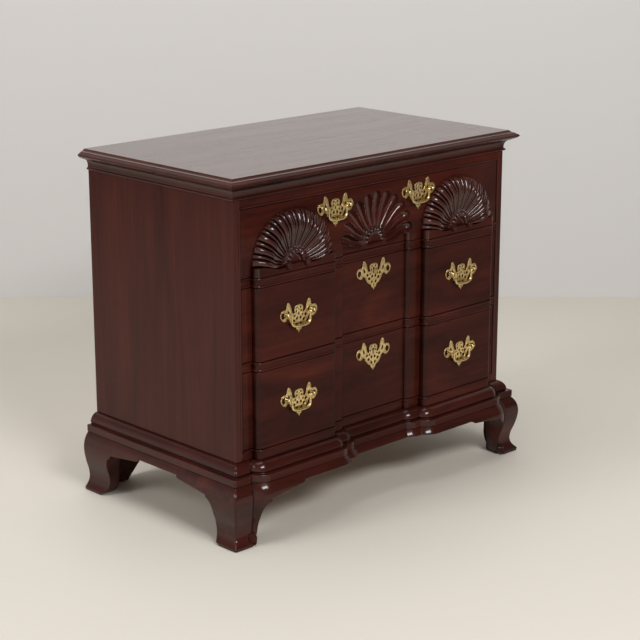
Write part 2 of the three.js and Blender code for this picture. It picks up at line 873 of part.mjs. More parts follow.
// Pierced plate outline, standing on its bottom tip
function plateShape(keyhole) {
  const half = plateShares.map(([u, v]) => [u * plateSpan / 2, v * plateHeight]);
  const left = half.slice(1, -1).map(([x, z]) => [-x, z]).reverse();
  const shape = shapeOf([...half, ...left]);
  const sides = 5;
  const hole = (x, z, wide, high, tilt) => new THREE.Path(
    Array.from({ length: sides }, (_, i) => {
      const angle = 2 * Math.PI * i / sides;
      const point = new THREE.Vector2(wide * Math.cos(angle), high * Math.sin(angle));
      point.rotateAround(new THREE.Vector2(0, 0), tilt);
      return point.add(new THREE.Vector2(x, z));
    }),
  );
  pierceShares.forEach(([across, up, wide, high, turn]) => {
    const [x, z] = [across * plateSpan / 2, up * plateHeight];
    const [w, h] = [wide * plateSpan / 2, high * plateHeight];
    const tilt = 2 * Math.PI * turn;
    shape.holes.push(hole(x, z, w, h, tilt), hole(-x, z, w, h, -tilt));
  });
  if (keyhole) {
    const slotHalf = keyholeRadius / 2;
    shape.holes.push(new THREE.Path([
      [-slotHalf, keyholeLevel - keyholeDrop],
      [slotHalf, keyholeLevel - keyholeDrop],
      [slotHalf, keyholeLevel - keyholeRadius],
      [keyholeRadius, keyholeLevel],
      [slotHalf, keyholeLevel + keyholeRadius],
      [-slotHalf, keyholeLevel + keyholeRadius],
      [-keyholeRadius, keyholeLevel],
      [-slotHalf, keyholeLevel - keyholeRadius],
    ].map(([x, z]) => new THREE.Vector2(x, z))));
  }
  return shape;
}

// Pull plate with two posts, each ending in a ball bored for the bail
const boreLength = ballRadius * 2 + overrun;
const ball = new THREE.SphereGeometry(ballRadius, 8, 5).translate(0, -postReach, 0);
const stemRoot = plateThickness / 2;
const stem = new THREE.CylinderGeometry(postRadius, postRadius, postReach - stemRoot, 6)
  .translate(0, -(postReach + stemRoot) / 2, 0);
const bore = new THREE.CylinderGeometry(boreRadius, boreRadius, boreLength, 6)
  .rotateZ(Math.PI / 2)
  .translate(0, -postReach, 0);
const post = cut(join(ball, stem), bore);
const platePlain = prismY(plateShape(false), -plateThickness, 0);
const pullPlate = join(
  platePlain,
  post.clone().translate(postSpacing / 2, 0, postLevel),
  post.clone().translate(-postSpacing / 2, 0, postLevel),
);
const escutcheon = prismY(plateShape(true), -plateThickness, 0);

// Bail: pins through both balls, bent down into a loop that thickens towards the middle
const pinEnd = postSpacing / 2 + ballRadius + bailPin;
const pinInner = postSpacing / 2 - ballRadius - bailPinGap;
const bailHalfPath = new THREE.Path()
  .moveTo(0, -bailDrop)
  .bezierCurveTo(
    bailHalf * bailTurnShare, -bailDrop,
    bailHalf, -bailDrop * bailLowShare,
    bailHalf, -bailDrop * bailSideShare,
  )
  .lineTo(bailHalf, -bailBend)
  .quadraticCurveTo(bailHalf, 0, pinInner, 0)
  .lineTo(pinEnd, 0)
  .getPoints(5);
const bailPath = [
  ...bailHalfPath.slice(1).map(({ x, y }) => new THREE.Vector2(-x, y)).reverse(),
  ...bailHalfPath,
];
const rodSides = 5;
const rodSection = Array.from({ length: rodSides }, (_, k) => {
  const angle = 2 * Math.PI * k / rodSides;
  return [bailRadius * Math.cos(angle), bailRadius * Math.sin(angle)];
});
const rodRows = rodSection.map(([side, out]) => bailPath.map((point, i) => {
  const before = bailPath[Math.max(i - 1, 0)];
  const after = bailPath[Math.min(i + 1, bailPath.length - 1)];
  const along = after.clone().sub(before).normalize();
  const swell = 1 + bailSwellShare * point.y / -bailDrop;
  return [point.x - along.y * side * swell, out * swell, point.y + along.x * side * swell];
}));
const bailRod = skin(rodRows, rodSection);

function pull(drawer, name, x, y, z) {
  const plate = place(drawer, `pull_plate_${name}`, pullPlate, brass);
  plate.position.set(x, y - fitGap, z);
  const bail = place(drawer, `bail_${name}`, bailRod, brass);
  bail.position.set(x, y - fitGap - postReach, z + postLevel);
}

const drawers = [
  { name: 'lower', floor: lowerFloor, opening: lowerOpening },
  { name: 'middle', floor: middleFloor, opening: middleOpening },
  { name: 'upper', floor: upperFloor, opening: upperOpening },
];
drawers.forEach(({ name, floor, opening }) => {
  const drawer = new THREE.Group();
  root.add(drawer);
  const top = name === 'upper';
  const front = top ? shellFront(floor, opening) : blockedFront(floor, opening);
  place(drawer, `drawer_${name}_front`, front, mahogany);
  drawerBox(drawer, `drawer_${name}`, floor, opening);
  const middle = floor + (opening - plateHeight) / 2;
  const pullX = top ? blockCentre / 2 + topPullShift : blockCentre;
  const pullY = top ? 0 : -blockProjection;
  const pullZ = top ? floor + opening - drawerClear - topPullGap - plateHeight : middle;
  pull(drawer, `${name}_right`, pullX, pullY, pullZ);
  pull(drawer, `${name}_left`, -pullX, pullY, pullZ);
  if (top) {
    place(drawer, 'shell_right', convexShell, mahogany).position.set(blockCentre, 0, 0);
    place(drawer, 'shell_left', mirrored(convexShell), mahogany).position.set(-blockCentre, 0, 0);
  } else {
    const plate = place(drawer, `escutcheon_${name}`, escutcheon, brass);
    plate.position.set(0, recessDepth - fitGap, middle + escutcheonRise);
  }
});

// The origin is on the floor, under the middle of the object's length and depth
root.position.y = (blockProjection + ogeeSwell - caseDepth) / 2;

export default root;
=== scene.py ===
import json
import math

import bmesh
import bpy
from mathutils import Matrix, Vector


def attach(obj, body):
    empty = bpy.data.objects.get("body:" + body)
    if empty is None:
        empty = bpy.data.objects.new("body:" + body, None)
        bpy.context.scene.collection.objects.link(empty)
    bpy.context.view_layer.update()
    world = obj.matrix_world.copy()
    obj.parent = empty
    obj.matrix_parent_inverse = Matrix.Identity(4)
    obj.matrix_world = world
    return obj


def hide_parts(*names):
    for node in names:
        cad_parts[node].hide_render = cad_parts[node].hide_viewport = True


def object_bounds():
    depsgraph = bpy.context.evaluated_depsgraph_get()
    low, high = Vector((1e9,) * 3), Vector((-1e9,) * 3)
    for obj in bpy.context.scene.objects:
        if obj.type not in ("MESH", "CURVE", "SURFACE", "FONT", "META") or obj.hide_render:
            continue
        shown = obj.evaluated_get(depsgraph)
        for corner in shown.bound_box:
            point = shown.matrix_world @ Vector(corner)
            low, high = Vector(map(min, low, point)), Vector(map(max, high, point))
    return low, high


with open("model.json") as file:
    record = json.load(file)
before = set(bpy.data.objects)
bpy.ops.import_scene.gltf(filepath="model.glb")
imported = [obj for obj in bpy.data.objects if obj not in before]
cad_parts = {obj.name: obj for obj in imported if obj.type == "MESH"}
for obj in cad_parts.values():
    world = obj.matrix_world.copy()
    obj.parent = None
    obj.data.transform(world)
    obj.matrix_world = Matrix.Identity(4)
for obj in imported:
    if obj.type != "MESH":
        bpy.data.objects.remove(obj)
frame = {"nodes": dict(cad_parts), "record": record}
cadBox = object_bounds()
nodes = frame["nodes"]
bodyOf = {node: body for body, names in frame["record"]["behaviour"]["bodies"].items() for node in names}
mm = 0.001


def newObject(name, data):
    made = bpy.data.objects.new(name, data)
    bpy.context.scene.collection.objects.link(made)
    return made


# Camera, matched to the photograph's view

cameraLook = {
    "place": (-2.7591, -2.8743, 1.4870),
    "direction": (0.67071, 0.69124, -0.26898),
    "lens": 99.06,
    "sensorWidth": 36.0,
    "clipEnd": 50.0,
}

camera = newObject("camera", bpy.data.cameras.new("camera"))
camera.location = cameraLook["place"]
camera.rotation_euler = Vector(cameraLook["direction"]).to_track_quat("-Z", "Y").to_euler()
camera.data.lens = cameraLook["lens"]
camera.data.sensor_width = cameraLook["sensorWidth"]
camera.data.clip_end = cameraLook["clipEnd"]
bpy.context.scene.camera = camera
bpy.context.scene.view_settings.view_transform = "Standard"
print("camera set")


# The chest's own sizes in millimetres; x across, y back from the case's front, z up from the floor

chest = {
    "caseHalf": 426.0,
    "openHalf": 407.0,
    "depth": 488.0,
    "backPlane": 480.0,
    "frameShift": 213.5,
    "caseFloor": 150.0,
    "caseTop": 779.3,
    "gap": 0.3,
    "mitre": 0.12,
    "toolMargin": 3.0,  # how far a cutting tool stands past the wood
}
openings = {
    "lower": {"floor": 204.0, "height": 174.2},
    "middle": {"floor": 398.6, "height": 163.4},
    "upper": {"floor": 582.4, "height": 148.7},
}
openingsTop = openings["upper"]["floor"] + openings["upper"]["height"]


def at(x, y, z):
    return (x * mm, (y - chest["frameShift"]) * mm, z * mm)


def asDrawn(x, y, z):
    return (x, y, z)


def facingFront(place):
    # turns a flat shape drawn in millimetres to face the front, at a place on the chest
    return Matrix.Translation(at(*place)) @ Matrix.Rotation(math.radians(90.0), 4, "X") @ Matrix.Scale(mm, 4)


# Material helpers

def newMaterial(name):
    material = bpy.data.materials.new(name)
    material.use_nodes = True
    tree = material.node_tree
    tree.nodes.clear()
    output = tree.nodes.new("ShaderNodeOutputMaterial")
    shader = tree.nodes.new("ShaderNodeBsdfPrincipled")
    tree.links.new(shader.outputs[0], output.inputs["Surface"])
    return material, tree, shader


def fillInputs(tree, node, inputs):
    # each input takes a plain value, or a link from another node
    for key, value in inputs.items():
        if isinstance(value, bpy.types.NodeSocket):
            tree.links.new(value, node.inputs[key])
        else:
            node.inputs[key].default_value = value


def addNode(tree, kind, settings=None, **inputs):
    # an input is named by its label, or by i and its number
    node = tree.nodes.new(kind)
    for key, value in (settings or {}).items():
        setattr(node, key, value)
    fillInputs(tree, node, {int(key[1:]) if key[1:].isdigit() else key.replace("_", " "): value
                            for key, value in inputs.items()})
    return node


def grainNoise(tree, grain, pattern, scale, detail, shift=0.0):
    # noise drawn out along the grain; a pattern is its scale along, its scale across and its swirl
    along, across, swirl = pattern
    stretch = [across, across, across]
    stretch["XYZ".index(grain)] = along
    coords = addNode(tree, "ShaderNodeTexCoord").outputs["Object"]
    mapping = addNode(tree, "ShaderNodeMapping", None, Vector=coords, Scale=stretch,
                      Location=(shift, shift * 2.0, shift * 3.0))
    noise = addNode(tree, "ShaderNodeTexNoise", None, Vector=mapping.outputs[0], Scale=scale, Detail=detail,
                    Roughness=0.6, Distortion=swirl)
    return noise.outputs["Fac"]


def ramp(tree, factor, stops):
    node = addNode(tree, "ShaderNodeValToRGB", None, Fac=factor)
    bar = node.color_ramp
    while len(bar.elements) < len(stops):
        bar.elements.new(0.5)
    for element, (place, color) in zip(bar.elements, stops):
        element.position = place
        element.color = (*color, 1.0)
    return node.outputs["Color"]


def mapped(tree, value, low, high, toLow=0.0, toHigh=1.0):
    return addNode(tree, "ShaderNodeMapRange", None, Value=value, i1=low, i2=high, i3=toLow,
                   i4=toHigh).outputs[0]


def bumped(tree, height, strength, distance=0.0004, invert=False):
    return addNode(tree, "ShaderNodeBump", {"invert": invert}, Strength=strength, Distance=distance,
                   Height=height).outputs[0]


def mixColor(tree, mode, factor, *colors):
    first, second = (color if isinstance(color, bpy.types.NodeSocket) else (*color, 1.0) for color in colors)
    return addNode(tree, "ShaderNodeMix", {"data_type": "RGBA", "blend_type": mode}, i0=factor, i6=first,
                   i7=second).outputs[2]


def settledAndShadedIn(tree, color, reach, shares):
    # a darker tone in the recesses, from ambient occlusion: partly glaze settled in the wood and tarnish in
    # the brass, partly painted shade
    hollow = addNode(tree, "ShaderNodeAmbientOcclusion", {"samples": 8}, Distance=reach * mm).outputs["AO"]
    tone = ramp(tree, hollow, [(place, (share, share, share)) for place, share in shares])
    return mixColor(tree, "MULTIPLY", 1.0, color, tone)


def roughnessOver(tree, noise, look):
    low, high = (look["roughness"] + change for change in look["roughnessSpread"])
    return mapped(tree, noise, 0.3, 0.7, low, high)


# Mahogany, stained dark and polished, with its grain along one axis

mahoganyLook = {
    "dark": (0.025, 0.0047, 0.0032),
    "middle": (0.045, 0.0084, 0.0051),
    "light": (0.073, 0.0138, 0.0078),
    "pore": (0.012, 0.0030, 0.0022),
    "shade": 0.90,
    "figure": (1.6, 6.5, 1.0),
    "streak": (2.2, 60.0, 0.2),
    "pores": (14.0, 420.0, 0.0),
    # scale, detail and shift of each noise
    "figureNoise": (1.6, 3.0, 0.0),
    "streakNoise": (1.7, 5.0, 3.1),
    "poreNoise": (1.9, 2.0, 5.3),
    "figureStops": (0.30, 0.5, 0.72),
    "streakTones": [(0.35, (0.76, 0.73, 0.71)), (0.65, (1.12, 1.10, 1.09))],
    "streakShare": 0.7,
    "poreRange": (0.60, 0.72, 0.0, 0.5),
    "roughness": 0.38,
    "roughnessSpread": (-0.05, 0.06),
    "specular": 0.02,
    "coat": 0.18,
    "coatRoughness": 0.10,
    "poreBump": 0.05,
    # glaze and painted shade: ambient occlusion darkens the recesses within this reach
    "glazeAndShadeReach": 7.0,
    "glazeAndShade": [(0.30, 0.22), (0.55, 0.55), (0.82, 1.0)],
}
polishedLook = {**mahoganyLook, "dark": (0.034, 0.0063, 0.0041), "light": (0.058, 0.0112, 0.0066),
                "shade": 1.0, "figure": (1.1, 11.0, 0.6), "roughness": 0.24, "specular": 0.4, "coat": 0.66,
                "poreBump": 0.015}
sideLook = {**mahoganyLook, "dark": (0.033, 0.0062, 0.0040), "light": (0.058, 0.0111, 0.0066),
            "figure": (1.2, 9.0, 0.7), "shade": 1.0, "coat": 0.42}
carvedLook = {**mahoganyLook, "shade": 0.80, "coat": 0.62, "coatRoughness": 0.15}
shellLook = {**carvedLook, "shade": 0.95, "coat": 1.0, "coatRoughness": 0.155, "glazeAndShadeReach": 6.0}
# the upright turns: a darker copy of the mahogany, as painted shade
turnShadeLook = {**mahoganyLook, "shade": 0.60, "coat": 0.30, "coatRoughness": 0.18, "glazeAndShadeReach": 14.0}


def mahogany(name, grain, look=mahoganyLook):
    material, tree, shader = newMaterial(name)
    figure = grainNoise(tree, grain, look["figure"], *look["figureNoise"])
    streak = grainNoise(tree, grain, look["streak"], *look["streakNoise"])
    pores = grainNoise(tree, grain, look["pores"], *look["poreNoise"])
    tones = [tuple(look["shade"] * part for part in look[tone]) for tone in ("dark", "middle", "light")]
    broad = ramp(tree, figure, list(zip(look["figureStops"], tones)))
    streaked = mixColor(tree, "MULTIPLY", look["streakShare"], broad, ramp(tree, streak, look["streakTones"]))
    poreMask = mapped(tree, pores, *look["poreRange"])
    color = mixColor(tree, "MIX", poreMask, streaked, look["pore"])
    fillInputs(tree, shader, {
        # darker in the recesses, partly settled glaze and partly painted shade
        "Base Color": settledAndShadedIn(tree, color, look["glazeAndShadeReach"], look["glazeAndShade"]),
        "Roughness": roughnessOver(tree, streak, look),
        "Normal": bumped(tree, poreMask, look["poreBump"], invert=True),
        "Specular IOR Level": look["specular"],
        "Coat Weight": look["coat"],
        "Coat Roughness": look["coatRoughness"],
    })
    return material


# Poplar of the drawer boxes, frames and back, left unpolished; the glue blocks are stained near black, partly
# a dark stain and partly painted shade under the chest

poplarLook = {
    "dark": (0.30, 0.175, 0.080),
    "light": (0.50, 0.335, 0.175),
    "figure": (1.5, 20.0, 0.5),
    "fibre": (9.0, 260.0, 0.0),
    "figureNoise": (1.4, 4.0, 0.0),
    "fibreNoise": (1.5, 3.0, 2.7),
    "figureStops": (0.3, 0.72),
    "fibreTones": [(0.3, (0.80, 0.78, 0.75)), (0.7, (1.06, 1.05, 1.04))],
    "fibreShare": 0.7,
    "fibreBump": 0.12,
    "roughness": 0.72,
}
# near black: a dark stain, and painted shade for the unlit inside under the chest
stainedShadeLook = {**poplarLook, "dark": (0.005, 0.0040, 0.0030), "light": (0.014, 0.0090, 0.0060),
               "roughness": 0.75}


def poplar(name, grain, look=poplarLook):
    material, tree, shader = newMaterial(name)
    figure = grainNoise(tree, grain, look["figure"], *look["figureNoise"])
    fibre = grainNoise(tree, grain, look["fibre"], *look["fibreNoise"])
    broad = ramp(tree, figure, list(zip(look["figureStops"], (look["dark"], look["light"]))))
    narrow = ramp(tree, fibre, look["fibreTones"])
    fillInputs(tree, shader, {
        "Base Color": mixColor(tree, "MULTIPLY", look["fibreShare"], broad, narrow),
        "Roughness": look["roughness"],
        "Normal": bumped(tree, fibre, look["fibreBump"]),
    })
    return material


# Cast brass, polished bright with a little age left in it

brassLook = {
    "bright": (0.80, 0.61, 0.29),
    "aged": (0.30, 0.205, 0.078),
    "roughness": 0.24,
    "roughnessSpread": (0.14, -0.04),
    "patchScale": 160.0,
    "scratchScale": 900.0,
    "scratchBump": 0.10,
    "scratchDepth": 0.0003,
    # tarnish and painted shade: ambient occlusion darkens the hollows within this reach
    "tarnishAndShadeReach": 3.5,
    "tarnishAndShade": [(0.50, 0.10), (0.80, 0.48), (0.98, 1.0)],
}


def brass(name, look=brassLook):
    material, tree, shader = newMaterial(name)
    coords = addNode(tree, "ShaderNodeTexCoord").outputs["Object"]
    patches = addNode(tree, "ShaderNodeTexNoise", None, Vector=coords, Scale=look["patchScale"], Detail=5.0,
                      Roughness=0.65).outputs["Fac"]
    scratches = addNode(tree, "ShaderNodeTexNoise", None, Vector=coords, Scale=look["scratchScale"],
                        Detail=2.0).outputs["Fac"]
    color = ramp(tree, patches, [(0.30, look["aged"]), (0.50, look["bright"]), (0.9, look["bright"])])
    fillInputs(tree, shader, {
        # darker in the hollows, partly tarnish and partly painted shade
        "Base Color": settledAndShadedIn(tree, color, look["tarnishAndShadeReach"], look["tarnishAndShade"]),
        "Roughness": roughnessOver(tree, patches, look),
        "Normal": bumped(tree, scratches, look["scratchBump"], look["scratchDepth"]),
        "Metallic": 1.0,
    })
    return material


def plainMaterial(name, color, roughness):
    material, tree, shader = newMaterial(name)
    fillInputs(tree, shader, {"Base Color": (*color, 1.0), "Roughness": roughness})
    return material


finish = {
    "mahoganyX": mahogany("mahogany_grain_x", "X"),
    "mahoganyTop": mahogany("mahogany_polished_top", "X", polishedLook),
    "mahoganyZ": mahogany("mahogany_grain_z", "Z", sideLook),
    "carvedX": mahogany("mahogany_carved_x", "X", carvedLook),
    "carvedY": mahogany("mahogany_carved_y", "Y", carvedLook),
    "shell": mahogany("mahogany_shells", "X", shellLook),
    "turned": mahogany("mahogany_turn_painted_shade", "X", turnShadeLook),
    "poplarX": poplar("poplar_grain_x", "X"),
    "poplarY": poplar("poplar_grain_y", "Y"),
    "stainedShadeZ": poplar("poplar_stained_painted_shade", "Z", stainedShadeLook),
    "brass": brass("brass_cast"),
    # near black, as painted shade inside the keyhole
    "keyway": plainMaterial("keyway_painted_shade", (0.004, 0.003, 0.003), 0.9),
    "nail": plainMaterial("nail_iron", (0.09, 0.075, 0.065), 0.55),
}
print("materials made")


# Piece helpers

def pieceFrom(name, mesh, material, sharpAngle=28.0):
    mesh.materials.clear()
    mesh.materials.append(finish[material])
    for polygon in mesh.polygons:
        polygon.use_smooth = True
    mesh.set_sharp_from_angle(angle=math.radians(sharpAngle))
    return newObject(name, mesh)


def settle(piece, node):
    # the piece stands for the node and moves with its body
    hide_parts(node)
    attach(piece, bodyOf[node])


def addFitting(name, mesh, material, body):
    # a small piece that has no node of its own
    piece = pieceFrom(name, mesh, material)
    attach(piece, body)


def easeEdges(piece, width, angle):
    bevel = piece.modifiers.new("eased", "BEVEL")
    bevel.width = width * mm
    bevel.segments = 2
    bevel.limit_method = "ANGLE"
    bevel.angle_limit = math.radians(angle)


def paintFlats(mesh, turns=False, below=math.inf, square=0.99):
    # faces square to the front keep the plain finish, and the upright turns get a darker finish as painted
    # shade
    mesh.materials.append(finish["mahoganyX"])
    mesh.materials.append(finish["turned"])
    for polygon in mesh.polygons:
        if polygon.normal.y < -square:
            polygon.material_index = 1
        elif turns and abs(polygon.normal.x) > abs(polygon.normal.z) and polygon.center.z < below:
            polygon.material_index = 2


def woodPiece(name, mesh, material, ease, angle=30.0, flats=False, turns=False):
    piece = pieceFrom(f"{name}_wood", mesh, material, angle)
    if flats:
        paintFlats(mesh, turns)
    if ease:
        easeEdges(piece, ease, angle)
    weighted = piece.modifiers.new("level", "WEIGHTED_NORMAL")
    weighted.keep_sharp = True
    settle(piece, name)


def buildPair(name, mesh, material, ease):
    woodPiece(f"{name}_right", mesh, material, ease)
    woodPiece(f"{name}_left", mirroredMesh(mesh, f"{name}_left"), material, ease)


# Mesh helpers

def sculptOf(*meshes):
    sculpt = bmesh.new()
    for mesh in meshes:
        sculpt.from_mesh(mesh)
    return sculpt


def meshFrom(name, sculpt):
    mesh = bpy.data.meshes.new(name)
    sculpt.to_mesh(mesh)
    sculpt.free()
    return mesh


def joinMeshes(name, meshes):
    return meshFrom(name, sculptOf(*meshes))


def cleanMesh(name, sculpt, reach=0.01 * mm):
    # doubles merged and faces turned outwards
    bmesh.ops.remove_doubles(sculpt, verts=sculpt.verts, dist=reach)
    bmesh.ops.recalc_face_normals(sculpt, faces=sculpt.faces)
    return meshFrom(name, sculpt)


def bridgeRings(sculpt, rings):
    for low, high in zip(rings, rings[1:]):
        for i in range(len(low)):
            sculpt.faces.new((low[i], low[i - 1], high[i - 1], high[i]))


def loftMesh(name, rings):
    # rings follow the profile round; each holds the points along the run; both ends are capped
    sculpt = bmesh.new()
    grid = [[sculpt.verts.new(point) for point in ring] for ring in rings]
    for k, ring in enumerate(grid):
        following = grid[(k + 1) % len(grid)]
        for i in range(len(ring) - 1):
            sculpt.faces.new((ring[i], ring[i + 1], following[i + 1], following[i]))
    for end in (0, -1):
        sculpt.faces.new([ring[end] for ring in grid])
    return cleanMesh(name, sculpt)


def prismMesh(name, outline, low, high, axis, place=at):
    # the outline's flat points (u, v) run from low to high along the axis
    point = {"X": lambda u, v, w: place(w, u, v), "Y": lambda u, v, w: place(u, w, v), "Z": place}[axis]
    sculpt = bmesh.new()
    loops = [[sculpt.verts.new(point(u, v, level)) for u, v in outline] for level in (low, high)]
    for loop in loops:
        sculpt.faces.new(loop)
    for i in range(len(outline)):
        j = (i + 1) % len(outline)
        sculpt.faces.new((loops[0][i], loops[0][j], loops[1][j], loops[1][i]))
    return cleanMesh(name, sculpt)


def boxMesh(name, low, high):
    corners = [(low[0], low[1]), (high[0], low[1]), (high[0], high[1]), (low[0], high[1])]
    return prismMesh(name, corners, low[2], high[2], "Z")


def movedCopy(mesh, move):
    copy = mesh.copy()
    copy.transform(move)
    return copy


def mirroredMesh(mesh, name):
    copy = movedCopy(mesh, Matrix.Scale(-1.0, 4, (1.0, 0.0, 0.0)))
    copy.name = name
    copy.flip_normals()
    return copy


def plainResult(holder, *helpers):
    # the holder's finished shape as a plain mesh; the objects that made it go
    bpy.context.view_layer.update()
    graph = bpy.context.evaluated_depsgraph_get()
    mesh = bpy.data.meshes.new_from_object(holder.evaluated_get(graph))
    holder.modifiers.clear()
    for used in (holder, *helpers):
        bpy.data.objects.remove(used)
    return mesh


def carvedMesh(name, body, tools, operation="DIFFERENCE"):
    block = newObject(name, body)
    helpers = [newObject("tool", tool) for tool in tools]
    for helper in helpers:
        step = block.modifiers.new("cut", "BOOLEAN")
        step.operation = operation
        step.solver = "MANIFOLD"
        step.object = helper
    return plainResult(block, *helpers)


# Lines

def splineAt(t, a, b, c, d):
    return 0.5 * (2 * b + (c - a) * t + (2 * a - 5 * b + 4 * c - d) * t * t
                  + (3 * b - a - 3 * c + d) * t ** 3)


def smoothRun(points, steps=5, corners=()):
    # a soft curve through the points, which keeps the numbered corners sharp
    last = len(points) - 1
    run = []
    for i in range(last):
        before = points[i] if i in corners or i == 0 else points[i - 1]
        after = points[i + 1] if i + 1 in corners or i + 1 == last else points[i + 2]
        for k in range(steps):
            run.append(tuple(splineAt(k / steps, *four)
                             for four in zip(before, points[i], points[i + 1], after)))
    return [*run, points[last]]


def curvePoints(start, first, second, end, steps=10):
    # a Bezier curve without its first point
    run = []
    for i in range(1, steps + 1):
        t = i / steps
        run.append(tuple((1 - t) ** 3 * a + 3 * (1 - t) ** 2 * t * b + 3 * (1 - t) * t * t * c + t ** 3 * d
                         for a, b, c, d in zip(start, first, second, end)))
    return run


def roundedTurn(start, bend, end, steps=10):
    # a curve from start to end that is drawn towards the bend
    first, second = (tuple((a + 2 * b) / 3 for a, b in zip(point, bend)) for point in (start, end))
    return curvePoints(start, first, second, end, steps)


def roundPoints(x, z, radius, sides=32):
    return [(x + radius * math.cos(2 * math.pi * i / sides), z + radius * math.sin(2 * math.pi * i / sides))
            for i in range(sides)]


def bothHalves(half):
    return [*[(-x, y) for x, y in reversed(half)], *half]


# Node-tree helpers

def newTree(name, values, material):
    # a tree with one named input for each value, and one for its material
    tree = bpy.data.node_groups.new(name, "GeometryNodeTree")
    tree.interface.new_socket("Geometry", in_out="INPUT", socket_type="NodeSocketGeometry")
    tree.interface.new_socket("Geometry", in_out="OUTPUT", socket_type="NodeSocketGeometry")
    for label, value in values.items():
        kind = {int: "NodeSocketInt", float: "NodeSocketFloat", tuple: "NodeSocketVector"}[type(value)]
        tree.interface.new_socket(label, in_out="INPUT", socket_type=kind).default_value = value
    painted = tree.interface.new_socket("Material", in_out="INPUT", socket_type="NodeSocketMaterial")
    painted.default_value = finish[material]
    return tree, tree.nodes.new("NodeGroupInput").outputs, tree.nodes.new("NodeGroupOutput")


def endTree(tree, shapes, inputs, output):
    joined = joinedShapes(tree, shapes)
    real = addNode(tree, "GeometryNodeRealizeInstances", None, Geometry=joined)
    painted = addNode(tree, "GeometryNodeSetMaterial", None, Geometry=real.outputs[0],
                      Material=inputs["Material"])
    tree.links.new(painted.outputs[0], output.inputs[0])


def joinedShapes(tree, shapes):
    joined = tree.nodes.new("GeometryNodeJoinGeometry")
    for shape in shapes:
        tree.links.new(shape, joined.inputs[0])
    return joined.outputs[0]


def calc(tree, operation, *values):
    return addNode(tree, "ShaderNodeMath", {"operation": operation},
                   **{f"i{i}": value for i, value in enumerate(values)}).outputs[0]


def spotOf(tree):
    place = tree.nodes.new("GeometryNodeInputPosition").outputs[0]
    return addNode(tree, "ShaderNodeSeparateXYZ", None, Vector=place).outputs


def moved(tree, shape, x, y, z):
    place = addNode(tree, "ShaderNodeCombineXYZ", None, X=x, Y=y, Z=z).outputs[0]
    return addNode(tree, "GeometryNodeSetPosition", None, Geometry=shape, Position=place).outputs[0]


def curveOf(tree, value, points):
    # a soft curve through the points, whose values are brought to a span of 0 to 1 and back
    values = [level for _, level in points]
    low, span = min(values), max(max(values) - min(values), 1e-6)
    node = addNode(tree, "ShaderNodeFloatCurve", None, Value=value)
    curve = node.mapping.curves[0]
    curve.points[0].location = (points[0][0], (points[0][1] - low) / span)
    curve.points[1].location = (points[-1][0], (points[-1][1] - low) / span)
    for place, level in points[1:-1]:
        curve.points.new(place, (level - low) / span)
    node.mapping.update()
    return calc(tree, "MULTIPLY_ADD", node.outputs[0], span, low)


def grownMesh(name, tree, values=None, base=None):
    # runs a node tree on a base mesh and returns the plain result
    holder = newObject(name, base or bpy.data.meshes.new(name))
    step = holder.modifiers.new("grown", "NODES")
    step.node_group = tree
    for socket in tree.interface.items_tree:
        if socket.in_out == "INPUT" and socket.name in (values or {}):
            step[socket.identifier] = values[socket.name]
    return plainResult(holder)


# Blocking: two raised blocks and a sunk centre, which the whole front follows

blocking = {
    "projection": 20.0,
    "round": 11.0,
    "inner": 144.0,
    "outer": 379.0,
    "recessDepth": 11.0,
    "recessHalf": 112.0,
    "leastStrip": 2.0,
    "steps": 9,
}
blockCentre = (blocking["inner"] + blocking["outer"]) / 2


def blockSide(wall, inward, out, look=blocking):
    # one rounded side of a raised block in plan, from the ground up to the block's face
    rise = look["projection"] - look["round"]
    radius = look["round"] + out
    centre = wall + inward * look["round"]
    steps = look["steps"]
    quarter = math.pi / 2

    def point(angle, reach):
        return (centre - inward * reach * math.cos(angle), -rise - radius * math.sin(angle))

    if out < rise:
        arc = [point(quarter * i / steps, radius) for i in range(steps + 1)]
        return [(centre - inward * radius, -out), *arc]
    start = math.asin((out - rise) / radius)
    clear = centre - look["recessHalf"] - look["leastStrip"] if inward > 0 else radius
    reach = min(radius, clear / math.cos(start))
    return [point(start + (quarter - start) * i / (steps + 1), reach) for i in range(steps + 2)]


def blockLine(out):
    return [*blockSide(blocking["inner"], 1, out), *reversed(blockSide(blocking["outer"], -1, out))]


def recessSide(out, look=blocking):
    # the rounded side of the centre recess, from its floor out to the ground
    radius = look["recessDepth"] + out
    start = math.asin(out / radius)
    run = []
    for i in range(look["steps"] + 1):
        angle = start + (math.pi / 2 - start) * i / look["steps"]
        run.append((look["recessHalf"] - radius * math.cos(angle),
                    look["recessDepth"] - radius * math.sin(angle)))
    return run


def facade(out, share, end):
    # the facade's line at a distance in front of the case; a share of 0 flattens the blocking
    grow = max(out, 0.0)
    half = [*recessSide(grow), *blockLine(grow), (end, -grow)]
    return bothHalves([(x, share * (y + grow) - out) for x, y in half])


def sweptMoulding(name, profile, path):
    # each profile point (reach, height, blocking share) runs along its own line
    return loftMesh(name, [[at(x, y, up) for x, y in path(out, share)] for out, up, share in profile])


def raisedProfile(look):
    # a profile written as shares of its reach and height
    return [(out * look["reach"], look["bottom"] + up * look["height"], 1.0)
            for out, up in smoothRun(look["profile"], 5, look["corners"])]


def mouldProfile(look):
    # the same, closed by the flat back that lies on the case
    top = look["bottom"] + look["height"]
    return [*raisedProfile(look), (chest["gap"], top, 1.0), (chest["gap"], look["bottom"], 1.0)]


def buildRun(name, profile, paths, ease, flats=False):
    # a front length and two end lengths of one profile
    front, end = (sweptMoulding(name, profile, path) for path in paths)
    woodPiece(f"{name}_front", front, "carvedX", ease, flats=flats)
    buildPair(name, end, "carvedY", ease)


# Top board: a thumbnail edge over a small cove, on the front and both ends

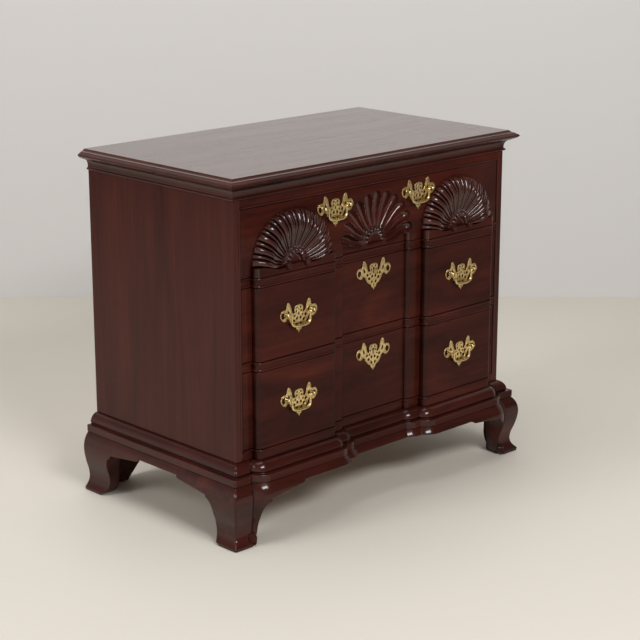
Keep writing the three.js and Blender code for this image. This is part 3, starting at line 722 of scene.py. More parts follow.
topBoard = {
    "bottom": 779.6,
    "height": 20.8,
    "reach": 28.0,
    "profile": [(0.64, 0), (0.73, 0.065), (0.86, 0.16), (0.97, 0.29), (1, 0.365), (0.97, 0.45), (0.86, 0.56),
                (0.72, 0.66), (0.69, 0.72), (0.55, 0.78), (0.43, 0.88), (0.33, 1)],
    "corners": (7, 8),
    "ease": 0.5,
    "easeAngle": 24.0,
    "levelFrom": 0.9,  # faces that look up less than this are the moulded edge
}


def buildTop(look=topBoard):
    sculpt = bmesh.new()
    rings = []
    for out, up, _ in raisedProfile(look):
        x = chest["caseHalf"] + out
        corners = [(-x, chest["depth"]), (-x, -out), (x, -out), (x, chest["depth"])]
        rings.append([sculpt.verts.new(at(px, py, up)) for px, py in corners])
    bridgeRings(sculpt, rings)
    for cap in (rings[0], rings[-1]):
        sculpt.faces.new(cap)
    board = cleanMesh("top_board", sculpt)
    woodPiece("top_board", board, "mahoganyTop", look["ease"], look["easeAngle"])
    board.materials.append(finish["carvedX"])
    for polygon in board.polygons:
        if polygon.normal.z < look["levelFrom"]:
            polygon.material_index = 1


# Bed moulding: an astragal under a cove

bedMould = {
    "bottom": 751.5,
    "height": 27.8,
    "reach": 16.0,
    "profile": [(0.08, 0), (0.21, 0.025), (0.3, 0.075), (0.31, 0.13), (0.25, 0.18), (0.12, 0.21),
                (0.08, 0.3), (0.1, 0.48), (0.16, 0.62), (0.29, 0.76), (0.46, 0.86), (0.69, 0.93),
                (0.94, 0.955), (0.94, 1)],
    "corners": (5, 11, 12),
    "ease": 0.25,
}


def mitredFront(out, _share):
    return [(-chest["caseHalf"] - out, -out), (chest["caseHalf"] + out, -out)]


def mitredEnd(out, _share):
    return [(chest["caseHalf"] + out, chest["mitre"] - out), (chest["caseHalf"] + out, chest["depth"])]


# Beads and rails: the case sides carry a bead along the openings, and so do the rails and dividers

sideBoard = {"rabbet": 10.0, "ease": 0.6}
beadLook = {"width": 5.2, "reach": 1.8}
railHalf = 406.7
rails = {
    "bottom_rail": {"low": 150.0, "high": 204.0, "depth": 34.0, "beads": (False, True)},
    "divider_lower": {"low": 378.2, "high": 398.6, "depth": 66.0, "beads": (True, True)},
    "divider_upper": {"low": 562.0, "high": 582.4, "depth": 66.0, "beads": (True, True)},
    "top_rail": {"low": 731.1, "high": 779.3, "depth": 24.0, "beads": (True, False)},
}


def bead(low, high, steps=8):
    middle = (low + high) / 2
    return [(beadLook["reach"] * math.sin(math.pi * i / steps),
             middle - (high - low) / 2 * math.cos(math.pi * i / steps), 1.0) for i in range(steps + 1)]


def buildSides(look=sideBoard):
    inner, outer, lip = chest["openHalf"], chest["caseHalf"], chest["openHalf"] + look["rabbet"]
    beaded = inner + beadLook["width"]
    plan = [(inner, 0.0), (outer, 0.0), (outer, chest["depth"]), (lip, chest["depth"]),
            (lip, chest["backPlane"]), (inner, chest["backPlane"])]
    board = prismMesh("side", plan, chest["caseFloor"], chest["caseTop"], "Z")
    section = [*[(x, -out) for out, x, _ in bead(inner, beaded, 10)], (beaded, 1.0), (inner, 1.0)]
    strip = prismMesh("side_bead", section, openings["lower"]["floor"], openingsTop, "Z")
    buildPair("side", joinMeshes("side", [board, strip]), "mahoganyZ", look["ease"])


def blockedRail(out, share):
    return facade(out, share, railHalf)


def straightRail(out, _share):
    return [(-railHalf, -out), (railHalf, -out)]


def buildRails():
    for name, rail in rails.items():
        low, high, blocked = rail["low"], rail["high"], name != "top_rail"
        lower = bead(low, low + beadLook["width"]) if rail["beads"][0] else [(0.0, low, 1.0)]
        upper = bead(high - beadLook["width"], high) if rail["beads"][1] else [(0.0, high, 1.0)]
        profile = [*lower, *upper, (-rail["depth"], high, 0.0), (-rail["depth"], low, 0.0)]
        mesh = sweptMoulding(name, profile, blockedRail if blocked else straightRail)
        # the blocked rails' upright turns get painted shade
        woodPiece(name, mesh, "carvedX", 0.0, flats=True, turns=blocked)


# Base moulding: a cyma over a broad fillet, following the blocking across the front

baseMould = {
    "bottom": 141.3,
    "height": 39.7,
    "reach": 29.0,
    "profile": [(1, 0), (1, 0.33), (0.985, 0.37), (0.93, 0.39), (0.80, 0.39), (0.63, 0.39), (0.60, 0.42),
                (0.655, 0.50), (0.645, 0.58), (0.595, 0.69), (0.51, 0.79), (0.4, 0.885), (0.26, 0.96),
                (0.15, 1)],
    "corners": (1, 5, 6),
    "cornerRound": 4.5,
    "cornerShare": 0.6,
    "crease": 4.5,
    "creaseSpan": (0.8, 1.7),
    "creaseFade": 4.0,
    "ease": 0.3,
}


def turnedCorner(out, look=baseMould, steps=4):
    # the rounded arris at a corner of the case, from the front round to the end
    reach = min(look["cornerRound"], out * look["cornerShare"])
    x, y = chest["caseHalf"] + out - reach, reach - out
    return [(x + reach * math.sin(math.pi / 4 * i / steps), y - reach * math.cos(math.pi / 4 * i / steps))
            for i in range(2 * steps + 1)]


def creasedFacade(out, share, look=baseMould):
    # the right half of the facade, with a V cut where the outer block meets the corner strip
    half = [p for p in facade(out, share, chest["caseHalf"] + out) if p[0] > 0]
    depth = look["crease"] * min(1.0, out / look["creaseFade"])
    near, far = look["creaseSpan"]
    x, y = half[-2]
    return [*half[:-1], (x + depth * near, y + depth), (x + depth * far, half[-1][1])]


def mouldFront(out, share):
    corner = turnedCorner(out)
    return bothHalves([*creasedFacade(out, share), *corner[:len(corner) // 2 + 1]])


def mouldEnd(out, _share):
    corner = turnedCorner(out)
    end = (chest["caseHalf"] + out, chest["depth"])
    return [*[(x, y + chest["mitre"]) for x, y in corner[len(corner) // 2:]], end]


# Ogee bracket feet and the apron strips between them

feet = {
    "height": 141.0,
    "swell": 41.0,
    "ogee": [(0.96, 0), (1, 0.045), (0.78, 0.12), (0.69, 0.184), (0.668, 0.255), (0.724, 0.359),
             (0.85, 0.475), (0.956, 0.61), (1, 0.73), (0.970, 0.82), (0.915, 0.88), (0.82, 0.935), (0.65, 1)],
    "corners": (1,),
    "wing": 198.0,
    "toe": 55.0,
    "frontToe": 64.0,
    "frontNarrowing": 8.0,
    "toeRise": 42.0,
    "toeTurn": 0.34,
    "ankle": 78.0,
    "coveStart": 64.0,
    "coveTop": 100.0,
    "coveRun": 18.0,
    "coveSwing": 0.55,
    "coveLean": 0.45,
    "stepRise": 7.0,
    "stepRun": 3.0,
    "lobeLevel": 117.0,
    "lobeRun": 16.0,
    "apronBottom": 124.0,
    "apronBack": 8.0,
    "apronSteps": 6,
    "apronEase": 0.12,
    "rearBracket": {"thickness": 20.0, "floorSpan": 69.0, "topSpan": 164.0, "drop": 40.0},
    "ease": 0.5,
}
scrollLook = {
    "radius": 11.0,
    "height": 16.5,
    "span": 56.0,
    "proud": 3.6,
    "depth": 10.0,
    "turns": 2.0,
    "ridge": 1.6,
    "eye": 2.4,
}
footTop = feet["height"] - chest["gap"]
footCorner = chest["caseHalf"] + feet["swell"]
frontWingEnd = footCorner + feet["frontNarrowing"] - feet["wing"]
sideWingEnd = feet["wing"] - feet["swell"]
rearWingEnd = chest["depth"] - feet["wing"]


def ogeeAt(up, look=feet):
    run = smoothRun(look["ogee"], 5, look["corners"])
    share = up / look["height"]
    for (fromReach, low), (toReach, high) in zip(run, run[1:]):
        if low <= share <= high:
            return look["swell"] * (fromReach + (toReach - fromReach) * (share - low) / max(high - low, 1e-6))
    return look["swell"] * run[0][0]


def bracketCut(toe, look=feet):
    # the outline cut away under a foot's bracket, as distance from the toe's corner and height
    over = chest["toolMargin"]
    ankle, wing = look["ankle"], look["wing"]
    coveStart, coveTop, coveEnd = look["coveStart"], look["coveTop"], look["ankle"] + look["coveRun"]
    lobe, tip = (wing - look["lobeRun"], look["lobeLevel"]), (wing, look["apronBottom"])
    toeTurn = (ankle, look["toeRise"] * look["toeTurn"])
    return [
        (toe, -over), (toe, 0.0), *roundedTurn((toe, 0.0), toeTurn, (ankle, look["toeRise"])),
        (ankle, coveStart),
        *curvePoints((ankle, coveStart), (ankle, coveStart + (coveTop - coveStart) * look["coveSwing"]),
                     (ankle + look["coveRun"] * look["coveLean"], coveTop), (coveEnd, coveTop)),
        (coveEnd + look["stepRun"], coveTop + look["stepRise"]),
        lobe, *roundedTurn(lobe, (wing, look["lobeLevel"]), tip, 8),
        (wing + over, look["apronBottom"]), (wing + over, -over),
    ]


def apronProfile(look=feet):
    steps = look["apronSteps"]
    levels = [look["height"] - (look["height"] - look["apronBottom"]) * i / steps for i in range(steps + 1)]
    front = [(ogeeAt(up), up, 1.0) for up in levels]
    return [*front, (look["apronBack"], look["apronBottom"], 1.0), (look["apronBack"], look["height"], 1.0)]


def apronFront(out, share):
    half = frontWingEnd - chest["gap"]
    line = [(x, y) for x, y in facade(out, share, half) if abs(x) <= half]
    return [(x, -blocking["projection"] * share - out) if abs(x) == half else (x, y) for x, y in line]


def apronEnd(out, _share):
    x = chest["caseHalf"] + out
    return [(x, sideWingEnd + chest["gap"]), (x, rearWingEnd - chest["gap"])]


def footProfile(fade=None, look=feet):
    levels = [(out * look["swell"], up * footTop) for out, up in smoothRun(look["ogee"], 5, look["corners"])]
    rows = [(out, up, min(1.0, up / fade) ** 2 if fade else 1.0) for out, up in levels]
    return [*rows, (chest["gap"], footTop, 0.0), (chest["gap"], 0.0, 0.0)]


def frontFootPath(out, share):
    half = [p for p in creasedFacade(out, share) if p[0] > blockCentre]
    run = [*half, *turnedCorner(out), (chest["caseHalf"] + out, sideWingEnd)]
    first = (min(run[0][0], blocking["outer"] - blocking["round"]), run[0][1])
    return [(frontWingEnd, -blocking["projection"] * share - out), first, *run[1:]]


def rearFootPath(out, _share):
    return [(chest["caseHalf"] + out, rearWingEnd), (chest["caseHalf"] + out, chest["depth"])]


def spiralTree():
    # a fillet wound round a small eye, for the scrolls of the feet and the volutes of the shells
    tree, inputs, output = newTree("spiralFillet", {"turns": 2.0, "outer": 9.0, "eye": 2.0, "ridge": 1.0},
                                   "mahoganyX")
    spiral = addNode(tree, "GeometryNodeCurveSpiral", None, Resolution=28, Height=0.0,
                     Rotations=inputs["turns"], Start_Radius=inputs["eye"], End_Radius=inputs["outer"])
    section = addNode(tree, "GeometryNodeCurvePrimitiveCircle", None, Resolution=10, Radius=inputs["ridge"])
    tube = addNode(tree, "GeometryNodeCurveToMesh", None, Curve=spiral.outputs[0], Fill_Caps=True,
                   Profile_Curve=section.outputs[0])
    eye = addNode(tree, "GeometryNodeMeshUVSphere", None, Segments=16, Rings=10, Radius=inputs["eye"])
    endTree(tree, [tube.outputs[0], eye.outputs[0]], inputs, output)
    return tree


spiralFillet = spiralTree()


def scrollMesh(scroll=scrollLook):
    # a disc laid on the slope of the toe, with a spiral fillet wound on its face
    face = -scroll["ridge"] / 2
    rim = roundPoints(0.0, 0.0, scroll["radius"], 40)
    disc = prismMesh("scroll_disc", rim, -scroll["depth"], face, "Z", asDrawn)
    spiral = grownMesh("scroll_spiral", spiralFillet, {
        "turns": scroll["turns"], "outer": scroll["radius"] - scroll["ridge"], "eye": scroll["eye"],
        "ridge": scroll["ridge"]})
    spiral.transform(Matrix.Translation((0.0, 0.0, face)))
    fall = ogeeAt(scroll["height"] - scroll["radius"]) - ogeeAt(scroll["height"] + scroll["radius"])
    tilt = math.atan2(fall, 2 * scroll["radius"])
    turn = Matrix.Rotation(math.radians(90.0) - tilt, 4, "X")
    place = Matrix.Translation(at(footCorner - scroll["span"], -ogeeAt(scroll["height"]), scroll["height"]))
    wound = joinMeshes("scroll", [disc, spiral])
    wound.transform(place @ turn @ Matrix.Scale(mm, 4) @ Matrix.Translation((0.0, 0.0, scroll["proud"])))
    return wound


def buildFeet(look=feet):
    over, case, depth = chest["toolMargin"], chest["caseHalf"], chest["depth"]
    sideTool, rearTool = (prismMesh("cut_side", outline, case - over, footCorner + over, "X") for outline in (
        [(s - look["swell"], up) for s, up in bracketCut(look["toe"])],
        [(depth - s, up) for s, up in bracketCut(look["toe"])]))
    frontCut = [(footCorner + look["frontNarrowing"] - s, up) for s, up in bracketCut(look["frontToe"])]
    frontTool = prismMesh("cut_front", frontCut, -(look["swell"] + blocking["projection"] + over), over, "Y")
    fade = scrollLook["height"] + scrollLook["radius"]
    shell = sweptMoulding("foot_shell", footProfile(fade), frontFootPath)
    carved = carvedMesh("foot", shell, [frontTool, sideTool])
    buildPair("foot_front", joinMeshes("foot_front", [carved, scrollMesh()]), "carvedX", 0.0)

    rear = carvedMesh("foot_rear", sweptMoulding("foot_rear", footProfile(), rearFootPath), [rearTool])
    bracket = look["rearBracket"]
    inner = case - bracket["topSpan"]
    outline = [(case + over, 0.0), (case + over, footTop), (inner, footTop),
               (inner, footTop - bracket["drop"]), (case - bracket["floorSpan"], 0.0)]
    board = prismMesh("foot_bracket", outline, depth - bracket["thickness"], depth, "Y")
    buildPair("foot_rear", joinMeshes("foot_rear", [rear, board]), "carvedY", look["ease"])


buildTop()
buildRun("bed_mould", mouldProfile(bedMould), (mitredFront, mitredEnd), bedMould["ease"])
buildSides()
buildRails()
buildRun("base_mould", mouldProfile(baseMould), (mouldFront, mouldEnd), baseMould["ease"], flats=True)
buildRun("apron", apronProfile(), (apronFront, apronEnd), feet["apronEase"])
buildFeet()
print("case, mouldings and feet built")


# Carved shells: ribs fan out from a hub of petals; the same tree carves the hollow one

convexShell = {
    "across": 117.0,
    "up": 116.9,
    "lobes": 12,
    "lanes": 24,
    "rings": 64,
    "ringEase": 1.35,
    "ribShare": 0.64,
    "narrowDrop": 2.4,
    "ridgeShare": 0.0,
    "fluteDepth": 7.8,
    "roundness": 3.1,
    "petals": 9,
    "petalDepth": 5.0,
    "petalRoundness": 2.2,
    "scallop": 0.06,
    # crest height in millimetres, flute share, petal share and sway of the edge, at each share of the radius
    "crest": [(0.0, 10.0), (0.13, 10.4), (0.16, 14.0), (0.20, 19.6), (0.25, 19.0), (0.275, 15.0),
              (0.30, 12.2), (0.36, 13.6), (0.48, 17.8), (0.60, 22.2), (0.68, 24.6), (0.73, 24.9),
              (0.79, 23.2), (0.85, 20.3), (0.91, 16.8), (0.955, 12.4), (0.985, 7.6), (1.0, 3.0)],
    "flute": [(0.0, 0.0), (0.285, 0.0), (0.32, 0.45), (0.48, 0.72), (0.70, 0.95), (0.85, 1.0), (0.95, 0.8),
              (1.0, 0.35)],
    "petal": [(0.0, 0.0), (0.16, 0.0), (0.20, 0.8), (0.25, 1.0), (0.285, 0.4), (0.30, 0.0), (1.0, 0.0)],
    "sway": [(0.0, 0.0), (0.2, -2.0), (0.34, -5.0), (0.52, -4.0), (0.74, 3.0), (0.88, 5.4), (1.0, 5.0)],
}
hollowShell = {
    **convexShell,
    "across": 115.0,
    "up": 115.6,
    "lobes": 11,
    "lanes": 22,
    "rings": 60,
    "ribShare": 1.0,
    "narrowDrop": 0.0,
    "ridgeShare": 0.10,
    "fluteDepth": -11.6,
    "roundness": 2.9,
    "scallop": 0.11,
    "crest": [(0.0, -7.2), (0.15, -7.0), (0.175, -6.4), (0.21, -3.6), (0.25, -4.4), (0.28, -9.6),
              (0.31, -12.6), (0.42, -14.8), (0.60, -15.4), (0.76, -15.1), (0.88, -14.2), (0.94, -12.6),
              (0.975, -9.6), (1.0, -2.0)],
    "flute": [(0.0, 0.0), (0.285, 0.0), (0.33, 0.3), (0.48, 0.55), (0.72, 0.85), (0.85, 1.0), (1.0, 1.0)],
    "sway": [(0.0, 0.0), (0.2, -1.5), (0.34, -4.0), (0.52, -3.0), (0.74, 3.0), (0.88, 5.0), (1.0, 4.4)],
}
shellSeat = {
    "centre": 598.2,
    "drawerFloor": 583.7,
    "shadedTurnsBelow": 4.0,
    "groundAbove": 12.0,
    "hollowGroundAbove": 14.0,
    "groundMargin": 4.0,
    "waveReach": 40.0,
    "merge": 0.002,
    "sharpAngle": 38.0,
    "volute": 7.5,
    "voluteDrop": 2.5,
    "voluteOffset": 27.0,
    "voluteReach": 4.0,
    "voluteRoot": 1.0,
    "voluteTurns": 1.7,
    "ridgeShown": 0.7,
    "eye": 1.8,
    "ridge": 0.85,
}


def shellTree(look):
    sizes = {key: value for key, value in look.items() if not isinstance(value, list)}
    tree, size, output = newTree("carvedShell", sizes, "mahoganyX")
    almostOne = 0.99999

    def step(operation, *values):
        return calc(tree, operation, *values)

    def times(first, *others):
        for other in others:
            first = step("MULTIPLY", first, other)
        return first

    def minus(first, second):
        return step("SUBTRACT", first, second)

    grid = addNode(tree, "GeometryNodeMeshGrid", None, Size_X=1.0, Size_Y=1.0, Vertices_Y=size["rings"],
                   Vertices_X=step("ADD", times(size["lobes"], size["lanes"]), 1.0))
    flat = spotOf(tree)
    turn = step("ADD", flat["X"], 0.5)
    outward = step("ADD", flat["Y"], 0.5)
    radius = minus(1.0, step("POWER", minus(1.0, outward), size["ringEase"]))
    angle = times(turn, math.pi)

    # across each lobe runs a broad rib and then a narrow one
    phase = step("FRACT", times(step("MINIMUM", turn, almostOne), size["lobes"]))
    broad = step("LESS_THAN", phase, size["ribShare"])
    onBroad = step("DIVIDE", phase, size["ribShare"])
    leftOver = step("MAXIMUM", minus(1.0, size["ribShare"]), 0.001)
    onNarrow = step("DIVIDE", minus(phase, size["ribShare"]), leftOver)
    along = step("ADD", times(broad, onBroad), times(minus(1.0, broad), onNarrow))
    offCentre = step("ABSOLUTE", minus(times(along, 2.0), 1.0))
    offCentre = step("MINIMUM", step("DIVIDE", offCentre, minus(1.0, size["ridgeShare"])), 1.0)
    fall = step("POWER", offCentre, size["roundness"])
    lower = times(minus(1.0, broad), size["narrowDrop"], minus(1.0, fall))
    leaf = step("FRACT", times(step("MINIMUM", turn, almostOne), size["petals"]))
    leafFall = step("POWER", step("ABSOLUTE", minus(times(leaf, 2.0), 1.0)), size["petalRoundness"])

    crest, flute, petal, sway = (curveOf(tree, radius, look[name])
                                 for name in ("crest", "flute", "petal", "sway"))
    lift = minus(crest, times(flute, step("ADD", times(size["fluteDepth"], fall), lower)))
    lift = minus(lift, times(petal, size["petalDepth"], leafFall))
    reach = times(radius, minus(1.0, times(size["scallop"], flute, fall)))
    side = step("COSINE", angle)
    x = times(reach, size["across"], side)
    z = times(reach, size["up"], step("SINE", angle))
    z = step("ADD", z, times(sway, times(side, side)))
    endTree(tree, [moved(tree, grid.outputs[0], x, times(lift, -1.0), z)], size, output)
    return tree


def closedCarving(mesh, base):
    # walls run from the edge of the carving to a flat back
    sculpt = sculptOf(mesh)
    bmesh.ops.remove_doubles(sculpt, verts=sculpt.verts, dist=shellSeat["merge"])
    rim = [edge for edge in sculpt.edges if edge.is_boundary]
    grown = bmesh.ops.extrude_edge_only(sculpt, edges=rim)["geom"]
    back = {item for item in grown if isinstance(item, bmesh.types.BMVert)}
    for vert in back:
        vert.co.y = base
    bmesh.ops.contextual_create(sculpt, geom=[
        item for item in grown if isinstance(item, bmesh.types.BMEdge) and set(item.verts) <= back])
    bmesh.ops.triangulate(sculpt, faces=[face for face in sculpt.faces if len(face.verts) > 4])
    bmesh.ops.recalc_face_normals(sculpt, faces=sculpt.faces)
    return meshFrom("closed_carving", sculpt)


def shellMesh(look, base, x):
    mesh = closedCarving(grownMesh("shell_carving", shellTree(look)), base)
    mesh.transform(Matrix.Translation(at(x, 0.0, shellSeat["centre"])) @ Matrix.Scale(mm, 4))
    return mesh


def groundUnder(look, plan, x, low, high, back, seat=shellSeat):
    # the plan's block, cut off along the swaying lower edge of a shell
    wave = [(r * look["across"], seat["centre"] + dz) for r, dz in smoothRun(look["sway"], 6)]
    top = [*[(x + across, z) for across, z in reversed(wave)], *[(x - across, z) for across, z in wave[1:]]]
    under = low - chest["toolMargin"]
    wide = look["across"] + seat["groundMargin"]
    outline = [(x + wide, under), (x + wide, top[0][1]), *top, (x - wide, top[-1][1]), (x - wide, under)]
    tool = prismMesh("ground_wave", outline, -seat["waveReach"], back, "Y")
    return carvedMesh("ground", prismMesh("ground", plan, low, high, "Z"), [tool], "INTERSECT")


def voluteMeshes(seat=shellSeat):
    meshes = []
    face = -(blocking["projection"] + seat["voluteReach"] - seat["ridge"] * seat["ridgeShown"])
    for side in (-1, 1):
        centre = (blockCentre + side * seat["voluteOffset"], seat["centre"] - seat["voluteDrop"])
        spiral = grownMesh("volute_spiral", spiralFillet, {
            "turns": seat["voluteTurns"], "outer": seat["volute"] - seat["ridge"], "eye": seat["eye"],
            "ridge": seat["ridge"]})
        if side < 0:
            spiral = mirroredMesh(spiral, "volute_spiral_left")
        spiral.transform(facingFront((centre[0], face, centre[1])))
        disc = prismMesh("volute", roundPoints(*centre, seat["volute"]), face, -seat["voluteRoot"], "Y")
        meshes += [disc, spiral]
    return meshes


def carvedPiece(node, mesh, seat=shellSeat):
    piece = pieceFrom(f"{node}_carved", mesh, "shell", seat["sharpAngle"])
    # flats keep the plain finish; upright faces below the shell's centre get painted shade
    paintFlats(mesh, True, (seat["centre"] - seat["shadedTurnsBelow"]) * mm)
    settle(piece, node)


def buildShells(look=convexShell, seat=shellSeat):
    fan = shellMesh(look, -chest["gap"], blockCentre)
    # the ground under the ribs carries the blocking down to the drawer's lower edge
    plan = [(x, min(y, -chest["gap"])) for x, y in blockLine(0.0)]
    ground = groundUnder(look, plan, blockCentre, seat["drawerFloor"], seat["centre"] + seat["groundAbove"],
                         chest["toolMargin"])
    shell = joinMeshes("shell", [fan, ground, *voluteMeshes()])
    carvedPiece("shell_right", shell)
    carvedPiece("shell_left", mirroredMesh(shell, "shell_left"))


# Drawers: blocked fronts, dovetailed poplar boxes

drawer = {
    "clear": 1.3,
    "frontHalf": 405.7,
    "frontThickness": 26.0,
    "sideOuter": 405.2,
    "sideThickness": 12.0,
    "sideDrop": 8.0,
    "grooveRise": 11.0,
    "grooveDepth": 5.0,
    "bottomThickness": 6.0,
    "ease": 0.8,
}


def grooveTool(floor, look=drawer):
    half = look["sideOuter"] - look["sideThickness"] + look["grooveDepth"]
    low = floor + look["grooveRise"]
    return boxMesh("groove", (-half, look["frontThickness"] - look["grooveDepth"], low),
                   (half, look["frontThickness"] + chest["toolMargin"],
                    low + look["bottomThickness"] + 2 * chest["gap"]))


def buildBlockedFront(name, look=drawer):
    floor, height = openings[name]["floor"], openings[name]["height"]
    plan = [*facade(0.0, 1.0, look["frontHalf"]), (look["frontHalf"], look["frontThickness"]),
            (-look["frontHalf"], look["frontThickness"])]
    body = prismMesh("front", plan, floor + look["clear"], floor + height - look["clear"], "Z")
    front = carvedMesh("front", body, [grooveTool(floor)])
    # the blocked fronts' upright turns get painted shade
    woodPiece(f"drawer_{name}_front", front, "carvedX", look["ease"], flats=True, turns=True)


def buildShellFront(look=drawer):
    floor, height, over = openings["upper"]["floor"], openings["upper"]["height"], chest["toolMargin"]
    sculpt = sculptOf(boxMesh("front", (-look["frontHalf"], 0.0, floor + look["clear"]),
                              (look["frontHalf"], look["frontThickness"], floor + height - look["clear"])))
    bmesh.ops.bevel(sculpt, geom=list(sculpt.edges), offset=look["ease"] * mm, segments=2, affect="EDGES",
                    profile=0.5)
    plan = [*bothHalves(recessSide(0.0)), (blocking["recessHalf"], -over), (-blocking["recessHalf"], -over)]
    ground = groundUnder(hollowShell, plan, 0.0, floor - over,
                         shellSeat["centre"] + shellSeat["hollowGroundAbove"], shellSeat["waveReach"])
    hollow = shellMesh(hollowShell, -over, 0.0)
    carved = carvedMesh("front", cleanMesh("front", sculpt), [hollow, ground, grooveTool(floor)])
    carvedPiece("drawer_upper_front", carved)


# Plain boards: the CAD board itself, merged, with its arrises eased

boardLook = {"ease": 0.6, "angle": 32.0, "merge": 0.02, "flatWithin": 0.5}
boards = {
    "back_panel": "poplarX",
    "bottom_board": "poplarX",
    "top_frame": "poplarY",
    "dust_frame_lower": "poplarY",
    "dust_frame_upper": "poplarY",
    # the glue blocks take the near-black stain, partly painted shade
    **{f"foot_block_{end}_{side}": "stainedShadeZ" for end in ("front", "rear") for side in ("right", "left")},
}
for level in openings:
    boards.update({f"drawer_{level}_side_right": "poplarY", f"drawer_{level}_side_left": "poplarY",
                   f"drawer_{level}_back": "poplarX", f"drawer_{level}_bottom": "poplarX"})


def dressedCopy(name, material, look=boardLook):
    sculpt = sculptOf(nodes[name].data)
    bmesh.ops.remove_doubles(sculpt, verts=sculpt.verts, dist=look["merge"] * mm)
    bmesh.ops.dissolve_limit(sculpt, angle_limit=math.radians(look["flatWithin"]), verts=sculpt.verts,
                             edges=sculpt.edges)
    piece = pieceFrom(f"{name}_dressed", meshFrom(f"{name}_dressed", sculpt), material, look["angle"])
    easeEdges(piece, look["ease"], look["angle"])
    settle(piece, name)


# Dovetails let into the ends of the drawer fronts, and nails along the back

dovetail = {"spacing": 24.0, "wide": 15.0, "length": 19.0, "thick": 0.35, "sunk": 0.1, "middleShare": 0.8,
            "taper": -0.45}
nailRow = {"spacing": 95.0, "head": 2.6, "rise": 0.5, "topShare": 0.45, "inset": 7.0, "cornerGap": 60.0}


def repeatTree(name, shapeOf, material):
    # one shape repeated at even steps along a straight line
    tree, inputs, output = newTree(name, {"count": 4, "start": (0.0, 0.0, 0.0), "end": (0.0, 0.0, 1.0),
                                          "width": 1.0, "length": 1.0, "thick": 1.0}, material)
    row = rowOf(tree, shapeOf(tree, inputs), inputs["count"], inputs["start"], inputs["end"])
    endTree(tree, [row], inputs, output)
    return tree


def rowOf(tree, shape, count, start, end):
    line = addNode(tree, "GeometryNodeMeshLine", {"mode": "END_POINTS"}, Count=count, Start_Location=start,
                   Offset=end)
    return addNode(tree, "GeometryNodeInstanceOnPoints", None, Points=line.outputs[0],
                   Instance=shape).outputs[0]


def tailShape(tree, inputs):
    # a wedge, broad at its tip and narrow at its root
    size = addNode(tree, "ShaderNodeCombineXYZ", None, X=inputs["thick"], Y=inputs["length"],
                   Z=inputs["width"])
    cube = addNode(tree, "GeometryNodeMeshCube", None, Size=size.outputs[0])
    spot = spotOf(tree)
    share = calc(tree, "DIVIDE", spot["Y"], inputs["length"])
    wide = calc(tree, "ADD", dovetail["middleShare"], calc(tree, "MULTIPLY", share, dovetail["taper"]))
    return moved(tree, cube.outputs[0], spot["X"], spot["Y"], calc(tree, "MULTIPLY", spot["Z"], wide))


def nailShape(tree, inputs):
    # a hand-cut nail's head, as a low cone lying on the board
    cone = addNode(tree, "GeometryNodeMeshCone", None, Vertices=9, Radius_Bottom=inputs["width"],
                   Radius_Top=calc(tree, "MULTIPLY", inputs["width"], nailRow["topShare"]),
                   Depth=inputs["thick"])
    return addNode(tree, "GeometryNodeTransform", None, Geometry=cone.outputs[0],
                   Rotation=(math.radians(-90.0), 0.0, 0.0)).outputs[0]


def buildDovetails(look=dovetail):
    tree = repeatTree("dovetailRow", tailShape, "poplarY")
    y = drawer["frontThickness"] - look["length"] / 2
    for level, opening in openings.items():
        tall = opening["height"] - 2 * drawer["clear"] - drawer["sideDrop"]
        count = int(tall // look["spacing"])
        run = (count - 1) * look["spacing"]
        low = opening["floor"] + drawer["clear"] + (tall - run) / 2
        rows = []
        for side in (-1, 1):
            x = side * (drawer["frontHalf"] + look["thick"] / 2 - look["sunk"])
            rows.append(grownMesh("tails", tree, {
                "count": count, "start": at(x, y, low), "end": at(x, y, low + run),
                "width": look["wide"] * mm, "length": look["length"] * mm, "thick": look["thick"] * mm}))
        addFitting(f"dovetails_{level}", joinMeshes("tails", rows), "poplarY", f"drawer_{level}")


def buildNails(look=nailRow):
    tree = repeatTree("nailRow", nailShape, "nail")
    back = chest["depth"] + look["rise"] / 2
    wide = chest["openHalf"] + sideBoard["rabbet"] - look["inset"]
    floor, top = chest["caseFloor"], chest["caseTop"]
    runs = [((-wide, up), (wide, up)) for up in (top - look["inset"], floor + look["inset"])]
    runs += [((x, floor + look["cornerGap"]), (x, top - look["cornerGap"])) for x in (-wide, wide)]
    rows = []
    for (x0, z0), (x1, z1) in runs:
        count = max(2, round(math.hypot(x1 - x0, z1 - z0) / look["spacing"]) + 1)
        rows.append(grownMesh("nails", tree, {
            "count": count, "start": at(x0, back, z0), "end": at(x1, back, z1), "width": look["head"] * mm,
            "thick": look["rise"] * mm}))
    addFitting("back_nails", joinMeshes("nails", rows), "nail", bodyOf["back_panel"])


buildShells()
buildBlockedFront("lower")
buildBlockedFront("middle")
buildShellFront()
for name, material in boards.items():
    dressedCopy(name, material)
buildDovetails()
buildNails()
print("shells and drawers built")


# Pierced brass plates, turned posts and cast bails

